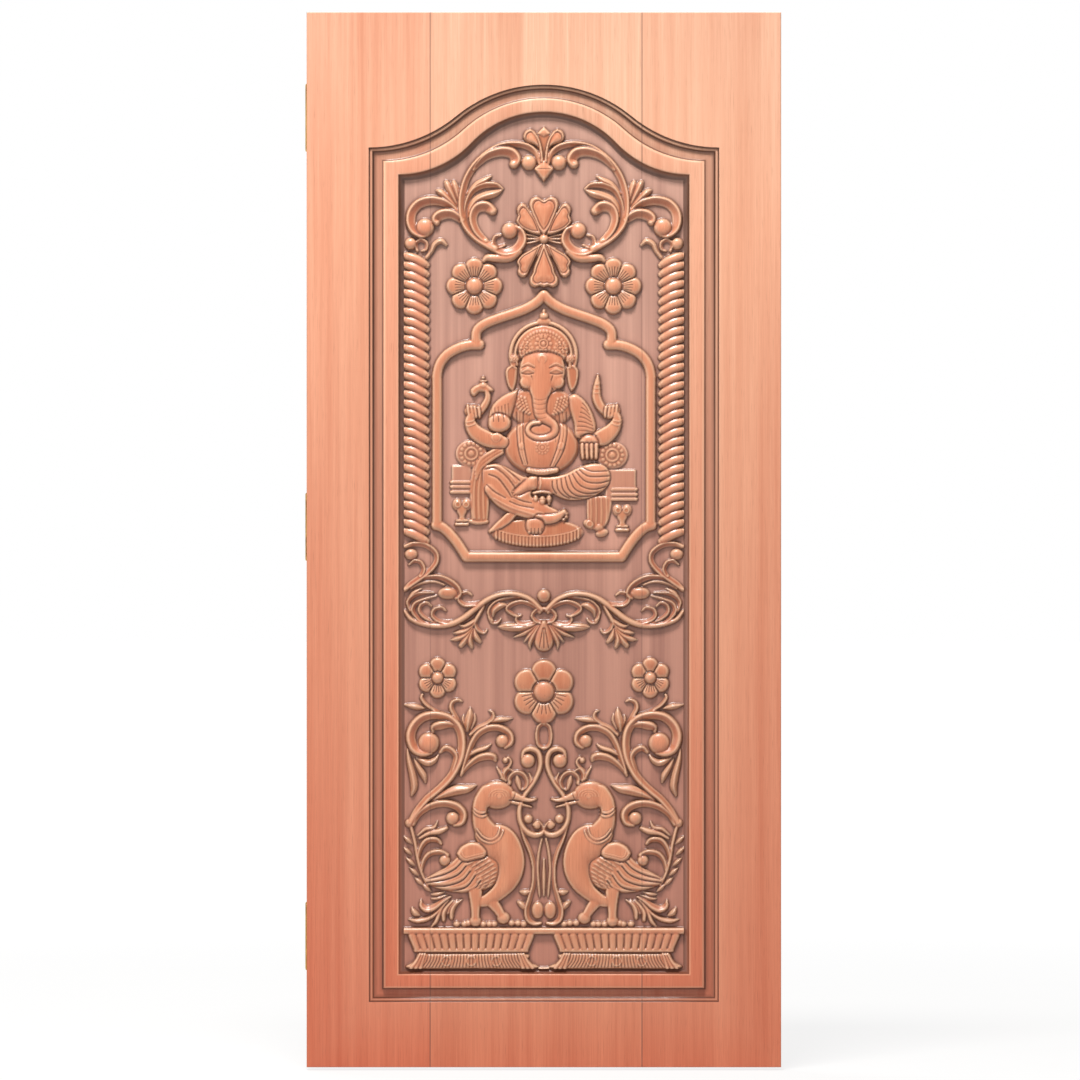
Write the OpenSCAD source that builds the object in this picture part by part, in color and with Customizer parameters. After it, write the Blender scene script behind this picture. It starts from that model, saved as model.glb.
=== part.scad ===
// Carved temple door leaf: three edge-glued boards carved in the solid, hung on three butt hinges.
// Millimetres. Origin at the middle of the bottom edge, carved face toward -Y, Z up.

/* [Leaf] */
// Width of the door leaf
leaf_w = 914; // [860:1:980]
// Height of the door leaf
leaf_h = 2032; // [1900:1:2200]
// Thickness of the door leaf
leaf_t = 40; // [36:1:50]
// Distance of the left glue line from the middle of the leaf
left_seam_x = 219; // [150:1:260]
// Distance of the right glue line from the middle of the leaf
right_seam_x = 189; // [150:1:260]

/* [Sunk panel] */
// Width of the plain stile at each side
stile_w = 119; // [100:1:135]
// Height of the plain rail under the panel
bottom_rail_h = 125; // [100:1:150]
// Height of the plain rail above the crown of the arch
top_rail_h = 139; // [110:1:170]
// Drop from the crown of the arch to its shoulders
arch_drop = 121; // [90:1:150]
// Width of the small bead round the panel
bead_w = 9; // [6:0.5:12]
// Width of the sunk channel inside the bead
channel_w = 20; // [14:0.5:24]
// Width of the flat band inside the channel
band_w = 29; // [22:0.5:34]
// Width of the cove from the band down to the ground
cove_w = 11; // [8:0.5:14]
// Depth of the bead below the face
bead_depth = 4.5; // [3:0.25:6]
// Depth of the channel below the face
channel_depth = 9; // [7:0.5:11]
// Depth of the flat band below the face
band_depth = 2; // [1:0.25:4]
// Depth of the carved ground below the face
ground_depth = 15; // [14:0.5:18]

/* [Carving] */
// Height of the scrolls above the ground
relief_h = 12; // [9:0.5:13]
// Extra height of the seated figure over the scrolls
figure_extra = 1.5; // [0:0.25:2]
// Width of each rope column
rope_w = 44; // [36:1:48]
// Number of strands in each rope column
rope_strands = 31; // [24:1:34]
// Flutes round each pedestal bowl
bowl_flutes = 15; // [9:2:19]

/* [Tongues] */
// Thickness of the loose tongue in each glue line
tongue_t = 8; // [6:0.5:9]
// Width of the loose tongue
tongue_w = 24; // [16:1:30]
// Distance the tongue stops short of each end of the leaf
tongue_stop = 60; // [40:5:120]
// Clearance of the tongue in its groove
tongue_clearance = 0.2; // [0.1:0.05:0.3]

/* [Hinges] */
// Height of each butt hinge
hinge_h = 125; // [100:1:150]
// Width of each hinge plate
plate_w = 30; // [26:0.5:32]
// Thickness of each hinge plate
plate_t = 2.5; // [2:0.1:3]
// Gap between the two plates when the door is shut
plate_gap = 1.5; // [1:0.1:2]
// Distance the jamb plate stands proud of the leaf edge
edge_gap = 2; // [1.5:0.1:3]
// Diameter of the hinge pin
pin_d = 6; // [5:0.1:7]
// Wall of the knuckles round the pin
knuckle_wall = 2.5; // [2:0.1:3]
// Clearance of the pin in the knuckles
pin_clearance = 0.05; // [0.03:0.01:0.08]
// Gap between neighbouring knuckles
knuckle_gap = 0.3; // [0.2:0.05:0.5]
// Height of the button on each end of the pin
button_h = 3; // [2:0.5:5]
// Middle of the bottom hinge above the bottom edge
bottom_hinge_z = 250; // [200:5:300]
// Middle of the top hinge below the top edge
top_hinge_drop = 200; // [150:5:250]

/* [Screws] */
// Shank diameter of the hinge screws
screw_d = 4.4; // [3.6:0.1:5]
// Head diameter of the hinge screws
screw_head_d = 8.6; // [7.5:0.1:9.5]
// Height of the countersunk head
screw_head_h = 1.6; // [1.2:0.1:1.8]
// Length of the hinge screws
screw_len = 32; // [25:1:40]
// Spacing of the screws across each plate
screw_pitch_y = 14; // [12:0.5:16]
// Spacing of the screw holes for the jamb, up and down
screw_pitch_z = 84; // [60:1:90]
// Spacing of the leaf's screws up and down, set between the jamb's so that the heads don't meet
leaf_screw_pitch_z = 60; // [50:1:68]

/* [Hidden] */

wood = [0.80, 0.52, 0.38];
pale_wood = [0.86, 0.68, 0.50];
brass = [0.78, 0.63, 0.32];

// The moulding is a little narrower along the rail and the arch than along the stiles.
rail_share = 0.94;
arch_share = 0.905;
arc_steps = 5;

half_w = leaf_w / 2;
panel_half_w = half_w - stile_w;
crown_z = leaf_h - top_rail_h;
moulding_w = bead_w + channel_w + band_w;
ground_half_w = panel_half_w - moulding_w - cove_w;
ground_bottom = bottom_rail_h + rail_share * (moulding_w + cove_w);
ground_top = crown_z - arch_share * (moulding_w + cove_w);

// The carving is drawn for a ground this large and follows the ground when the leaf changes.
drawn_half_w = 269;
drawn_bottom = 190;
drawn_top = 1830.6;
carve_x = ground_half_w / drawn_half_w;
carve_y = (ground_top - ground_bottom) / (drawn_top - drawn_bottom);

pin_r = pin_d / 2;
knuckle_r = pin_r + pin_clearance + knuckle_wall;
pin_x = -half_w - edge_gap + plate_t + plate_gap / 2;
back_gap = 0.5;
pin_y = leaf_t / 2 + knuckle_r + back_gap;
plate_front_y = leaf_t / 2 - plate_w;
plate_mid_y = leaf_t / 2 - plate_w / 2;
door_plate_x = pin_x + plate_gap / 2;
housing_x = door_plate_x + plate_t;
housing_play = 0.3;
knuckles = 5;
knuckle_h = (hinge_h - (knuckles - 1) * knuckle_gap) / knuckles;
hinge_zs = [bottom_hinge_z, (bottom_hinge_z + leaf_h - top_hinge_drop) / 2, leaf_h - top_hinge_drop];
screw_r = screw_d / 2;
screw_head_r = screw_head_d / 2;
screw_play = 0.1;
tongue_y = leaf_t / 2 - (leaf_t - ground_depth) / 2;

// Outline points, bottom edge first: each shoulder and the crown are equal arcs meeting halfway.
function arch_outline(hw, bottom, shoulder, crown) =
  let (
    a = 2 * atan((crown - shoulder) / hw),
    r = hw / 2 / sin(a),
    s = arc_steps
  )
  concat(
    [[-hw, bottom], [hw, bottom]],
    [for (i = [0:s]) [hw - r * sin(a * i / s), shoulder + r * (1 - cos(a * i / s))]],
    [for (i = [s - 1:-1:0]) [r * sin(a * i / s), crown - r * (1 - cos(a * i / s))]],
    [for (i = [1:s]) [-r * sin(a * i / s), crown - r * (1 - cos(a * i / s))]],
    [for (i = [s - 1:-1:0]) [-hw + r * sin(a * i / s), shoulder + r * (1 - cos(a * i / s))]]
  );

// Outline of the moulding a given distance in from the stile.
function moulding_outline(inset) =
  arch_outline(
    panel_half_w - inset,
    bottom_rail_h + rail_share * inset,
    crown_z - arch_drop - arch_share * inset,
    crown_z - arch_share * inset
  );

// Distance in from the stile and depth below the face, from the outside to the ground.
moulding_profile = [
  [0, 0],
  [1, bead_depth],
  [bead_w - 1, bead_depth + 0.5],
  [bead_w, channel_depth],
  [bead_w + channel_w / 2, channel_depth + 1],
  [bead_w + channel_w - 1, channel_depth],
  [bead_w + channel_w, band_depth + 1],
  [bead_w + channel_w + 4, band_depth],
  [moulding_w - 3, band_depth],
  [moulding_w, band_depth + 2],
  [moulding_w + cove_w * 0.3, ground_depth * 0.7],
  [moulding_w + cove_w, ground_depth]
];

// Curve through control points that carry position and width.
function curve_point(p, i, t) =
  let (
    a = p[max(i - 1, 0)],
    b = p[i],
    c = p[i + 1],
    d = p[min(i + 2, len(p) - 1)]
  )
  0.5 * (2 * b + (c - a) * t + (2 * a - 5 * b + 4 * c - d) * t * t + (3 * b - a - 3 * c + d) * t * t * t);

function curve(p, steps) =
  concat(
    [for (i = [0:len(p) - 2]) for (k = [0:steps - 1]) curve_point(p, i, k / steps)],
    [p[len(p) - 1]]
  );

function heading(q, i) =
  let (d = q[min(i + 1, len(q) - 1)] - q[max(i - 1, 0)], n = norm([d.x, d.y]))
  [d.x / n, d.y / n];

function rise(width) = min(relief_h, 3.5 + 0.55 * width);

// Cross sections: share of the half width and share of the height.
ridge = [[-1, 0], [0, 1], [1, 0]];
flat = [[-1, 0], [-0.5, 1], [0.5, 1], [1, 0]];
round = [[-1, 0], [-0.65, 0.75], [0, 1], [0.65, 0.75], [1, 0]];

// Raised stroke along a curve, standing on the ground.
module stroke(path, section = ridge, steps = 1, extra = 0) {
  q = curve(path, steps);
  k = len(section);
  n = len(q);
  points = [
    for (i = [0:n - 1])
      let (d = heading(q, i), w = max(q[i][2], 1) / 2, h = rise(q[i][2]) + extra)
      for (j = [0:k - 1])
        let (u = section[j][0] * w)
        [q[i].x + d.y * u, q[i].y - d.x * u, section[j][1] * h]
  ];
  faces = concat(
    [[for (j = [0:k - 1]) j]],
    [
      for (i = [0:n - 2])
        for (j = [0:k - 1])
          let (a = i * k + j, b = i * k + (j + 1) % k)
          each [[a, a + k, b], [b, a + k, b + k]]
    ],
    [[for (j = [k - 1:-1:0]) (n - 1) * k + j]]
  );
  polyhedron(points, faces);
}

// Half-round boss; a large one has one more step in its profile.
module dome(x, y, rx, ry, h, sides = 8) {
  small = [[0, 0], [1, 0], [0.76, 0.72], [0, 1]];
  large = [[0, 0], [1, 0], [0.9, 0.45], [0.55, 0.85], [0, 1]];
  translate([x, y, 0]) scale([rx, ry, h]) rotate_extrude($fn = sides) polygon(sides > 10 ? large : small);
}

module bead(x, y, r) {
  dome(x, y, r, r, min(relief_h, 4 + 0.5 * r), r > 12 ? 10 : 8);
}

// Upright block with a slightly smaller top.
module block(x0, y0, x1, y1, h) {
  hull() {
    translate([x0, y0, 0]) cube([x1 - x0, y1 - y0, 0.5]);
    translate([x0 + 1.5, y0 + 1.5, 0]) cube([x1 - x0 - 3, y1 - y0 - 3, h]);
  }
}

// Petal pointing along +Y: narrow at the core, rounded at the tip, with a ridge along its middle.
module petal(r0, r1, w, h) {
  tip = r1 - w / 2;
  mid = (r0 + tip) / 2;
  side = [[0.15, r0], [0.36, mid], [0.5, tip], [0.36, r1 - 0.12 * w]];
  edge = concat(
    [for (q = side) [q[0] * w, q[1], 0]],
    [[0, r1, 0]],
    [for (i = [3:-1:0]) [-side[i][0] * w, side[i][1], 0]]
  );
  low = len(edge);
  high = low + 1;
  crest_line = [[0, mid, 0.8 * h], [0, tip, h]];
  faces = [
    [for (i = [0:low - 1]) i],
    [0, low, 1], [1, low, high, 2], [2, high, 3], [3, high, 4],
    [4, high, 5], [5, high, 6], [6, high, low, 7], [7, low, 8], [8, low, 0]
  ];
  polyhedron(concat(edge, crest_line), faces);
}

// Open flower: petals rise from the valleys between them, with a round core.
module flower(x, y, r, count, start, core) {
  steps = 4 * count;
  h = relief_h - 1;
  function lobe(j) = [0, 0.72, 1, 0.72][j % 4];
  function ring(share, low, high) = [
    for (j = [0:steps - 1])
      let (
        a = start + 90 + 360 * (j - 2) / steps,
        d = (core + (r - core) * share) * (share > 0 ? 0.78 + 0.22 * lobe(j) : 1)
      )
      [d * cos(a), d * sin(a), low + (high - low) * lobe(j)]
  ];
  layers = [ring(1, 0, 0), ring(0.8, h * 0.35, h), ring(0, h * 0.45, h * 0.6)];
  faces = concat(
    [[for (j = [0:steps - 1]) j]],
    [
      for (i = [0:1])
        for (j = [0:steps - 1])
          let (p = i * steps + j, q = i * steps + (j + 1) % steps)
          each [[p, p + steps, q], [q, p + steps, q + steps]]
    ],
    [[for (j = [steps - 1:-1:0]) 2 * steps + j]]
  );
  translate([x, y, 0]) {
    polyhedron([for (l = layers) each l], faces);
    dome(0, 0, core, core, relief_h + 0.5, 10);
  }
}

module mirrored() {
  children();
  mirror([1, 0, 0]) children();
}

// Scrolls under the arch, left half, as points with width.
crest_stems = [
  [[-95, 1577, 16], [-130, 1600, 18], [-152, 1628, 20], [-157, 1665, 20], [-152, 1700, 18],
   [-140, 1728, 15], [-120, 1752, 13], [-92, 1771, 12], [-60, 1780, 11], [-32, 1776, 11],
   [-14, 1762, 10], [-8, 1744, 8]],
  [[-128, 1738, 8], [-108, 1756, 14], [-82, 1766, 18], [-60, 1764, 20], [-52, 1751, 18], [-60, 1741, 12]],
  [[-166, 1648, 10], [-188, 1666, 14], [-214, 1674, 17], [-238, 1669, 18], [-253, 1654, 19],
   [-257, 1634, 19], [-252, 1615, 18], [-238, 1604, 14], [-225, 1605, 8]],
  [[-95, 1577, 16], [-75, 1569, 15], [-52, 1575, 16], [-40, 1592, 17], [-42, 1610, 15], [-52, 1621, 10]]
];
crest_leaves = [
  [[-160, 1632, 14], [-178, 1645, 17], [-196, 1645, 20], [-208, 1638, 18], [-208, 1628, 10]],
  [[-48, 1572, 14], [-65, 1560, 16], [-90, 1560, 15], [-108, 1560, 12], [-116, 1552, 6]],
  [[-148, 1640, 8], [-146, 1662, 14], [-132, 1680, 20], [-108, 1688, 24], [-88, 1689, 20], [-75, 1689, 4]],
  [[-112, 1592, 12], [-130, 1612, 14], [-136, 1635, 16], [-130, 1654, 18], [-113, 1660, 20], [-98, 1650, 14]],
  [[-166, 1664, 6], [-178, 1685, 12], [-189, 1701, 6]],
  [[-246, 1572, 8], [-240, 1588, 10], [-230, 1591, 10], [-224, 1580, 8]],
  [[-222, 1562, 10], [-218, 1578, 12], [-203, 1589, 12], [-188, 1586, 5]],
  [[-4, 1745, 8], [-17, 1772, 20], [-24, 1792, 24], [-27, 1802, 8]]
];
crest_beads = [[-227, 1618, 16], [-65, 1612, 15], [-27, 1743, 14], [-258, 1587, 12]];

// Scrolls across the middle, left half.
swag_stems = [
  [[-268, 1003, 8], [-250, 1008, 10], [-228, 1005, 11], [-210, 992, 12], [-206, 976, 12],
   [-216, 960, 12], [-236, 945, 12], [-256, 930, 11], [-268, 918, 8]],
  [[-262, 915, 8], [-248, 930, 10], [-225, 940, 12], [-200, 940, 13], [-178, 930, 14], [-166, 914, 12]],
  [[-268, 876, 7], [-256, 861, 10], [-232, 853, 11], [-204, 850, 12], [-176, 855, 13], [-152, 868, 13],
   [-128, 886, 13], [-104, 901, 12], [-74, 910, 11], [-46, 909, 10], [-22, 898, 10], [-4, 880, 9]]
];
swag_leaves = [
  [[-238, 948, 8], [-233, 960, 9], [-243, 974, 9], [-259, 967, 5]],
  [[-262, 890, 8], [-240, 907, 11], [-208, 909, 4]],
  [[-185, 853, 8], [-209, 863, 9], [-207, 878, 9], [-191, 877, 5]],
  [[-112, 896, 8], [-138, 891, 10], [-161, 898, 10], [-156, 910, 8], [-141, 907, 5]],
  [[-118, 884, 6], [-132, 860, 9], [-160, 847, 4]],
  [[-134, 850, 6], [-146, 828, 12], [-160, 815, 8]],
  [[-132, 850, 6], [-132, 830, 12], [-126, 815, 6]],
  [[-112, 868, 6], [-104, 890, 8], [-85, 902, 8], [-62, 900, 6]],
  [[-62, 868, 6], [-62, 886, 9], [-34, 893, 9], [-3, 870, 7]],
  [[-90, 847, 3], [-66, 848, 15], [-40, 848, 14], [-14, 856, 5]],
  [[0, 857, 8], [-14, 860, 8], [-20, 870, 8], [-14, 880, 8], [0, 883, 8]]
];
swag_beads = [[-256, 988, 12], [-185, 913, 15]];

// Vine under the middle scrolls, left half.
vine_stems = [
  [[-258, 470, 12], [-246, 492, 13], [-226, 516, 14], [-200, 538, 15], [-178, 562, 16], [-163, 592, 17],
   [-158, 622, 17], [-163, 650, 17], [-180, 670, 17], [-206, 678, 17], [-232, 674, 18], [-250, 658, 19],
   [-257, 636, 20], [-250, 614, 19], [-234, 605, 16], [-218, 605, 8]],
  [[-158, 566, 8], [-148, 596, 11], [-139, 622, 12], [-126, 642, 13], [-106, 653, 14], [-84, 653, 14],
   [-67, 642, 14], [-64, 626, 13], [-74, 616, 8]],
  [[-252, 468, 9], [-240, 488, 12], [-218, 503, 14], [-192, 508, 15], [-168, 502, 16], [-156, 488, 16],
   [-160, 471, 12]]
];
vine_leaves = [
  [[-231, 691, 4], [-246, 694, 12], [-270, 698, 2]],
  [[-158, 652, 6], [-178, 690, 10], [-158, 704, 4]],
  [[-148, 648, 6], [-145, 668, 16], [-142, 693, 2]],
  [[-142, 640, 6], [-112, 662, 8], [-98, 676, 8], [-106, 686, 3]],
  [[-104, 664, 4], [-84, 669, 11], [-60, 672, 2]],
  [[-168, 656, 6], [-192, 660, 17], [-214, 648, 6]],
  [[-184, 556, 6], [-171, 592, 11], [-184, 613, 12], [-200, 606, 6]],
  [[-160, 562, 6], [-134, 591, 13], [-104, 599, 15], [-93, 590, 6]],
  [[-246, 596, 3], [-224, 586, 14], [-203, 602, 2]],
  [[-263, 612, 4], [-253, 562, 14], [-255, 523, 5]],
  [[-216, 512, 4], [-172, 532, 20], [-129, 543, 2]],
  [[-240, 440, 5], [-212, 453, 10], [-188, 460, 8]],
  [[-243, 398, 6], [-234, 427, 10], [-212, 439, 11], [-198, 430, 6]],
  [[-236, 378, 6], [-225, 407, 10], [-200, 414, 11], [-186, 408, 9]],
  [[-256, 462, 7], [-246, 418, 7], [-224, 350, 5]],
  [[-180, 327, 5], [-218, 306, 16], [-238, 318, 6]],
  [[-204, 300, 5], [-235, 285, 12], [-258, 285, 4]],
  [[-164, 322, 5], [-180, 304, 9], [-186, 286, 9]]
];
vine_beads = [[-222, 624, 21], [-80, 628, 13], [-176, 479, 13], [-191, 398, 11], [-259, 470, 9]];

// Middle ornament between the birds, left half.
urn_stems = [
  [[-42, 596, 6], [-38, 608, 9], [-26, 613, 11], [-13, 608, 11], [-7, 594, 11], [-8, 574, 10], [-20, 548, 9],
   [-38, 522, 9], [-47, 498, 10], [-46, 474, 10], [-36, 456, 11], [-20, 447, 12], [0, 452, 8]],
  [[-44, 462, 6], [-36, 438, 8], [-25, 412, 9], [-19, 384, 9], [-20, 352, 9], [-27, 325, 10], [-33, 302, 11],
   [-30, 284, 11], [-18, 276, 9], [-6, 277, 6]]
];
urn_leaves = [
  [[0, 662, 8], [-10, 655, 8], [-13, 638, 8], [-10, 621, 8], [0, 614, 8]],
  [[-4, 440, 5], [-12, 380, 6], [-8, 328, 4]],
  [[-26, 338, 5], [-36, 336, 12], [-46, 338, 4]]
];
urn_beads = [[-31, 590, 14], [-30, 478, 9], [-13, 466, 8], [-46, 313, 8]];

// Bird facing the middle, left one.
bird_stems = [
  [[-96, 448, 60], [-116, 468, 38], [-123, 492, 30], [-117, 516, 34], [-98, 530, 40]],
  [[-60, 520, 14], [-38, 517, 10], [-17, 515, 6]],
  [[-130, 330, 22], [-132, 305, 18], [-132, 280, 18]],
  [[-94, 318, 20], [-84, 298, 20], [-78, 282, 20]],
  [[-84, 556, 8], [-70, 572, 10], [-46, 562, 8]]
];

// Niche frame, left half of its centre line.
niche_line = [
  [0, 1488, 20], [-14, 1474, 20], [-34, 1462, 20], [-90, 1442, 20], [-114, 1432, 20], [-128, 1420, 20],
  [-130, 1393, 20]
];
niche_shoulder = [
  [-124, 1392, 20], [-146, 1391, 20], [-166, 1385, 20], [-186, 1373, 20], [-200, 1355, 20], [-206, 1332, 20]
];
niche_side = [[-206, 1336, 20], [-206, 1040, 20]];
niche_foot = [[-210, 1046, 20], [-196, 1040, 20], [-182, 1028, 20], [-168, 1011, 20], [-150, 980, 20]];
niche_sill = [[-156, 983, 20], [156, 983, 20]];

// Seated figure, single bosses: x, y, half width, half height, height as a share of the relief.
figure_domes = [
  [-3, 1394, 17, 17, 1.14], [-1, 1438, 11, 7, 0.75], [-1, 1448, 7, 9, 0.85],
  [-58, 1361, 9, 9, 0.85], [50, 1361, 9, 9, 0.85], [-36, 1383, 6, 6, 0.98], [30, 1383, 6, 6, 0.98],
  [-26, 1407, 6, 6, 0.98], [20, 1407, 6, 6, 0.98], [-60, 1328, 13, 27, 0.6], [54, 1328, 13, 27, 0.6],
  [-5, 1188, 72, 52, 1.04], [-3, 1193, 13, 13, 1.13], [-140, 1178, 24, 24, 0.85],
  [131, 1178, 24, 24, 0.85], [-140, 1264, 13, 13, 0.8], [133, 1264, 13, 13, 0.8],
  [-4, 1042, 17, 10, 0.95], [100, 1037, 22, 9, 0.6]
];
// Larger bodies, each stretched over a few bosses.
figure_bodies = [
  [[-3, 1374, 50, 18, 0.8], [-3, 1398, 38, 26, 0.92]],
  [[-3, 1338, 41, 25, 1.0], [-4, 1308, 28, 22, 0.95]],
  [[-58, 1278, 24, 22, 0.72], [48, 1278, 24, 22, 0.72], [-5, 1258, 50, 30, 0.82]],
  [[-62, 1285, 22, 17, 0.9], [-84, 1252, 20, 20, 0.98]],
  [[-84, 1252, 20, 20, 0.9], [-92, 1226, 14, 14, 0.85]],
  [[54, 1285, 22, 17, 0.9], [76, 1250, 20, 20, 0.98]],
  [[76, 1250, 20, 18, 0.96], [86, 1212, 16, 14, 0.9]],
  [[-102, 1140, 22, 20, 0.95], [-66, 1152, 20, 16, 0.85], [-44, 1116, 24, 20, 0.9]],
  [[-106, 1122, 23, 28, 0.98], [-62, 1080, 22, 17, 0.92], [-18, 1062, 12, 9, 0.75]],
  [[-22, 1062, 11, 9, 0.78], [22, 1055, 10, 7, 0.65]],
  [[108, 1138, 28, 25, 1.06], [62, 1118, 26, 24, 1.04], [28, 1118, 20, 17, 0.95]],
  [[30, 1118, 18, 15, 0.98], [-26, 1120, 14, 12, 0.92]],
  [[-26, 1118, 13, 12, 0.9], [-50, 1106, 11, 8, 0.75]],
  [[-58, 1032, 38, 18, 0.62], [30, 1032, 38, 18, 0.62], [-14, 1012, 82, 9, 0.5]]
];
figure_limbs = [
  [[-82, 1214, 26], [-112, 1209, 26], [-133, 1218, 23], [-141, 1238, 18], [-140, 1256, 16]],
  [[96, 1214, 26], [112, 1210, 25], [129, 1221, 22], [136, 1240, 18], [133, 1258, 16]]
];
// Narrow ridges: halo, crown band, straps, tusks, hands and what they hold, folds, pleats and tassels.
figure_ridges = [
  [0, [[-66, 1348, 8], [-65, 1382, 8], [-52, 1412, 8], [-28, 1429, 8], [-1, 1435, 8], [26, 1429, 8], [48, 1412, 8],
    [61, 1382, 8], [62, 1348, 8]]],
  [4.5, [[-50, 1368, 7], [-28, 1357, 9], [-3, 1353, 9], [22, 1357, 9], [45, 1368, 7]]],
  [7, [[-32, 1334, 3], [-22, 1338, 5], [-13, 1333, 3]]],
  [7, [[8, 1333, 3], [17, 1338, 5], [27, 1334, 3]]],
  [3, [[17, 1302, 9], [29, 1291, 7], [37, 1286, 3]]],
  [3, [[-24, 1302, 9], [-35, 1292, 7]]],
  [3.8, [[-42, 1294, 9], [-34, 1240, 11], [-35, 1190, 11], [-29, 1150, 9]]],
  [3.8, [[32, 1294, 9], [30, 1240, 11], [31, 1190, 11], [24, 1150, 9]]],
  [1, [[-144, 1260, 12], [-150, 1284, 8]]],
  [1, [[-135, 1262, 12], [-132, 1286, 8]]],
  [0, [[-126, 1268, 7], [-113, 1290, 7], [-112, 1308, 7], [-118, 1324, 6]]],
  [2, [[-142, 1307, 6], [-134, 1314, 16], [-118, 1308, 8], [-102, 1316, 16], [-96, 1306, 5]]],
  [1, [[138, 1260, 12], [144, 1284, 8]]],
  [1, [[129, 1262, 12], [127, 1286, 8]]],
  [0, [[122, 1262, 10], [108, 1282, 14], [102, 1302, 13], [103, 1330, 5]]],
  [3, [[-98, 1232, 8], [-100, 1214, 6]]],
  [3, [[-89, 1232, 8], [-90, 1210, 6]]],
  [3, [[-80, 1232, 8], [-79, 1212, 6]]],
  [2, [[74, 1206, 9], [72, 1177, 8]]],
  [2, [[82, 1208, 9], [81, 1174, 8]]],
  [2, [[91, 1208, 9], [91, 1174, 8]]],
  [2, [[99, 1206, 9], [101, 1177, 8]]],
  [4.5, [[128, 1162, 6], [116, 1138, 12], [126, 1116, 6]]],
  [4.5, [[110, 1163, 6], [96, 1133, 12], [106, 1107, 6]]],
  [4.5, [[89, 1154, 6], [74, 1125, 12], [84, 1100, 6]]],
  [3.6, [[-122, 1126, 6], [-96, 1111, 12], [-64, 1107, 6]]],
  [1, [[-134, 1152, 12], [-138, 1100, 13], [-139, 1046, 13]]],
  [1.5, [[-122, 1120, 12], [-126, 1085, 13], [-126, 1044, 13]]],
  [1, [[-112, 1094, 12], [-113, 1070, 13], [-113, 1048, 11]]],
  [1, [[88, 1100, 13], [86, 1068, 15], [84, 1040, 14]]],
  [1.5, [[103, 1106, 13], [101, 1070, 15], [100, 1042, 14]]],
  [1, [[117, 1108, 13], [117, 1072, 14], [116, 1046, 13]]],
  [2, [[-9, 1112, 8], [-10, 1084, 9]]],
  [2, [[2, 1110, 8], [3, 1078, 9]]]
];
figure_legs = [
  [[-158, 1098, 14], [-158, 1086, 28], [-158, 1070, 15], [-158, 1056, 28], [-158, 1042, 14]],
  [[150, 1088, 14], [150, 1076, 28], [150, 1060, 15], [150, 1046, 28], [150, 1032, 14]]
];
figure_trunk = [
  [-4, 1338, 30], [-5, 1312, 34], [-6, 1284, 29], [-5, 1262, 25], [2, 1245, 22], [15, 1234, 18], [18, 1220, 16],
  [8, 1208, 15], [-10, 1205, 14], [-24, 1214, 12], [-25, 1229, 11], [-14, 1237, 9], [-3, 1232, 7]
];

module crest() {
  mirrored() {
    for (p = crest_stems) stroke(p, flat);
    for (p = crest_leaves) stroke(p);
    for (b = crest_beads) bead(b[0], b[1], b[2]);
  }
  stroke([[0, 1795, 6], [0, 1804, 16], [0, 1812, 3]]);
  stroke([[0, 1746, 6], [0, 1733, 34], [0, 1708, 4]]);
}

module rosette() {
  petals = [[0, 84, 44], [38, 84, 32], [-38, 84, 32], [148, 84, 32], [-148, 84, 32], [180, 92, 46]];
  translate([0, 1596, 0]) {
    for (p = petals) rotate(p[0]) petal(10, p[1], p[2], relief_h - 2);
    for (side = [-90, 90]) rotate(side) petal(6, 34, 8, relief_h - 4);
    dome(0, 0, 8, 8, relief_h);
  }
}

module rope_column() {
  x = drawn_half_w - 1 - rope_w / 2;
  foot = 1010;
  top = 1567;
  pitch = (top - foot) / rope_strands;
  s = rope_w / 2;
  translate([-x, 0, 0]) {
    for (i = [0:rope_strands - 1])
      translate([0, foot + pitch * (i + 0.5), 0])
        stroke([[-s, 9, 10], [-s * 0.4, 5, pitch * 0.98], [s * 0.5, -4, pitch * 0.98], [s, -10, 10]], round);
  }
}

module niche() {
  mirrored() {
    stroke(niche_line, flat);
    stroke(niche_shoulder, flat);
    stroke(niche_side, flat);
    stroke(niche_foot, flat);
  }
  stroke(niche_sill, flat);
}

module flowers() {
  mirrored() {
    flower(-134, 1505, 55, 8, 0, 17);
    flower(-205, 750, 40, 6, 0, 11);
  }
  flower(0, 723, 63, 6, 0, 21);
}

module swag() {
  mirrored() {
    for (p = swag_stems) stroke(p, flat);
    for (p = swag_leaves) stroke(p);
    for (b = swag_beads) bead(b[0], b[1], b[2]);
  }
  bead(0, 908, 13);
  stroke([[0, 858, 8], [0, 842, 26], [0, 822, 40], [0, 808, 30], [0, 800, 6]]);
}

module vine() {
  barbs = [[-262, 437], [-263, 416], [-257, 395], [-250, 376], [-240, 357], [-226, 345]];
  mirrored() {
    for (p = vine_stems) stroke(p, flat);
    for (p = vine_leaves) stroke(p);
    for (b = vine_beads) bead(b[0], b[1], b[2]);
    for (b = barbs) stroke([[b.x - 8, b.y + 7, 2], [b.x, b.y, 8], [b.x + 8, b.y - 7, 2]]);
  }
}

module urn() {
  mirrored() {
    for (p = urn_stems) stroke(p, flat);
    for (p = urn_leaves) stroke(p);
    for (b = urn_beads) bead(b[0], b[1], b[2]);
    dome(-12, 302, 12, 17, relief_h - 3);
  }
  stroke([[0, 400, 4], [0, 360, 8], [0, 330, 4]]);
}

module bird() {
  top = relief_h;
  hull() {
    dome(-88, 392, 48, 68, top, 12);
    dome(-120, 362, 40, 48, top * 0.85, 8);
  }
  hull() {
    dome(-150, 378, 40, 38, top * 0.8, 10);
    dome(-212, 360, 16, 9, top * 0.5, 6);
  }
  dome(-140, 416, 28, 17, top * 0.95, 10);
  dome(-88, 527, 29, 28, top, 12);
  for (p = bird_stems) stroke(p, round);
  for (x = [-156, -110, -56]) dome(x, 276, 14, 6, top * 0.6, 6);
}

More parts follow.
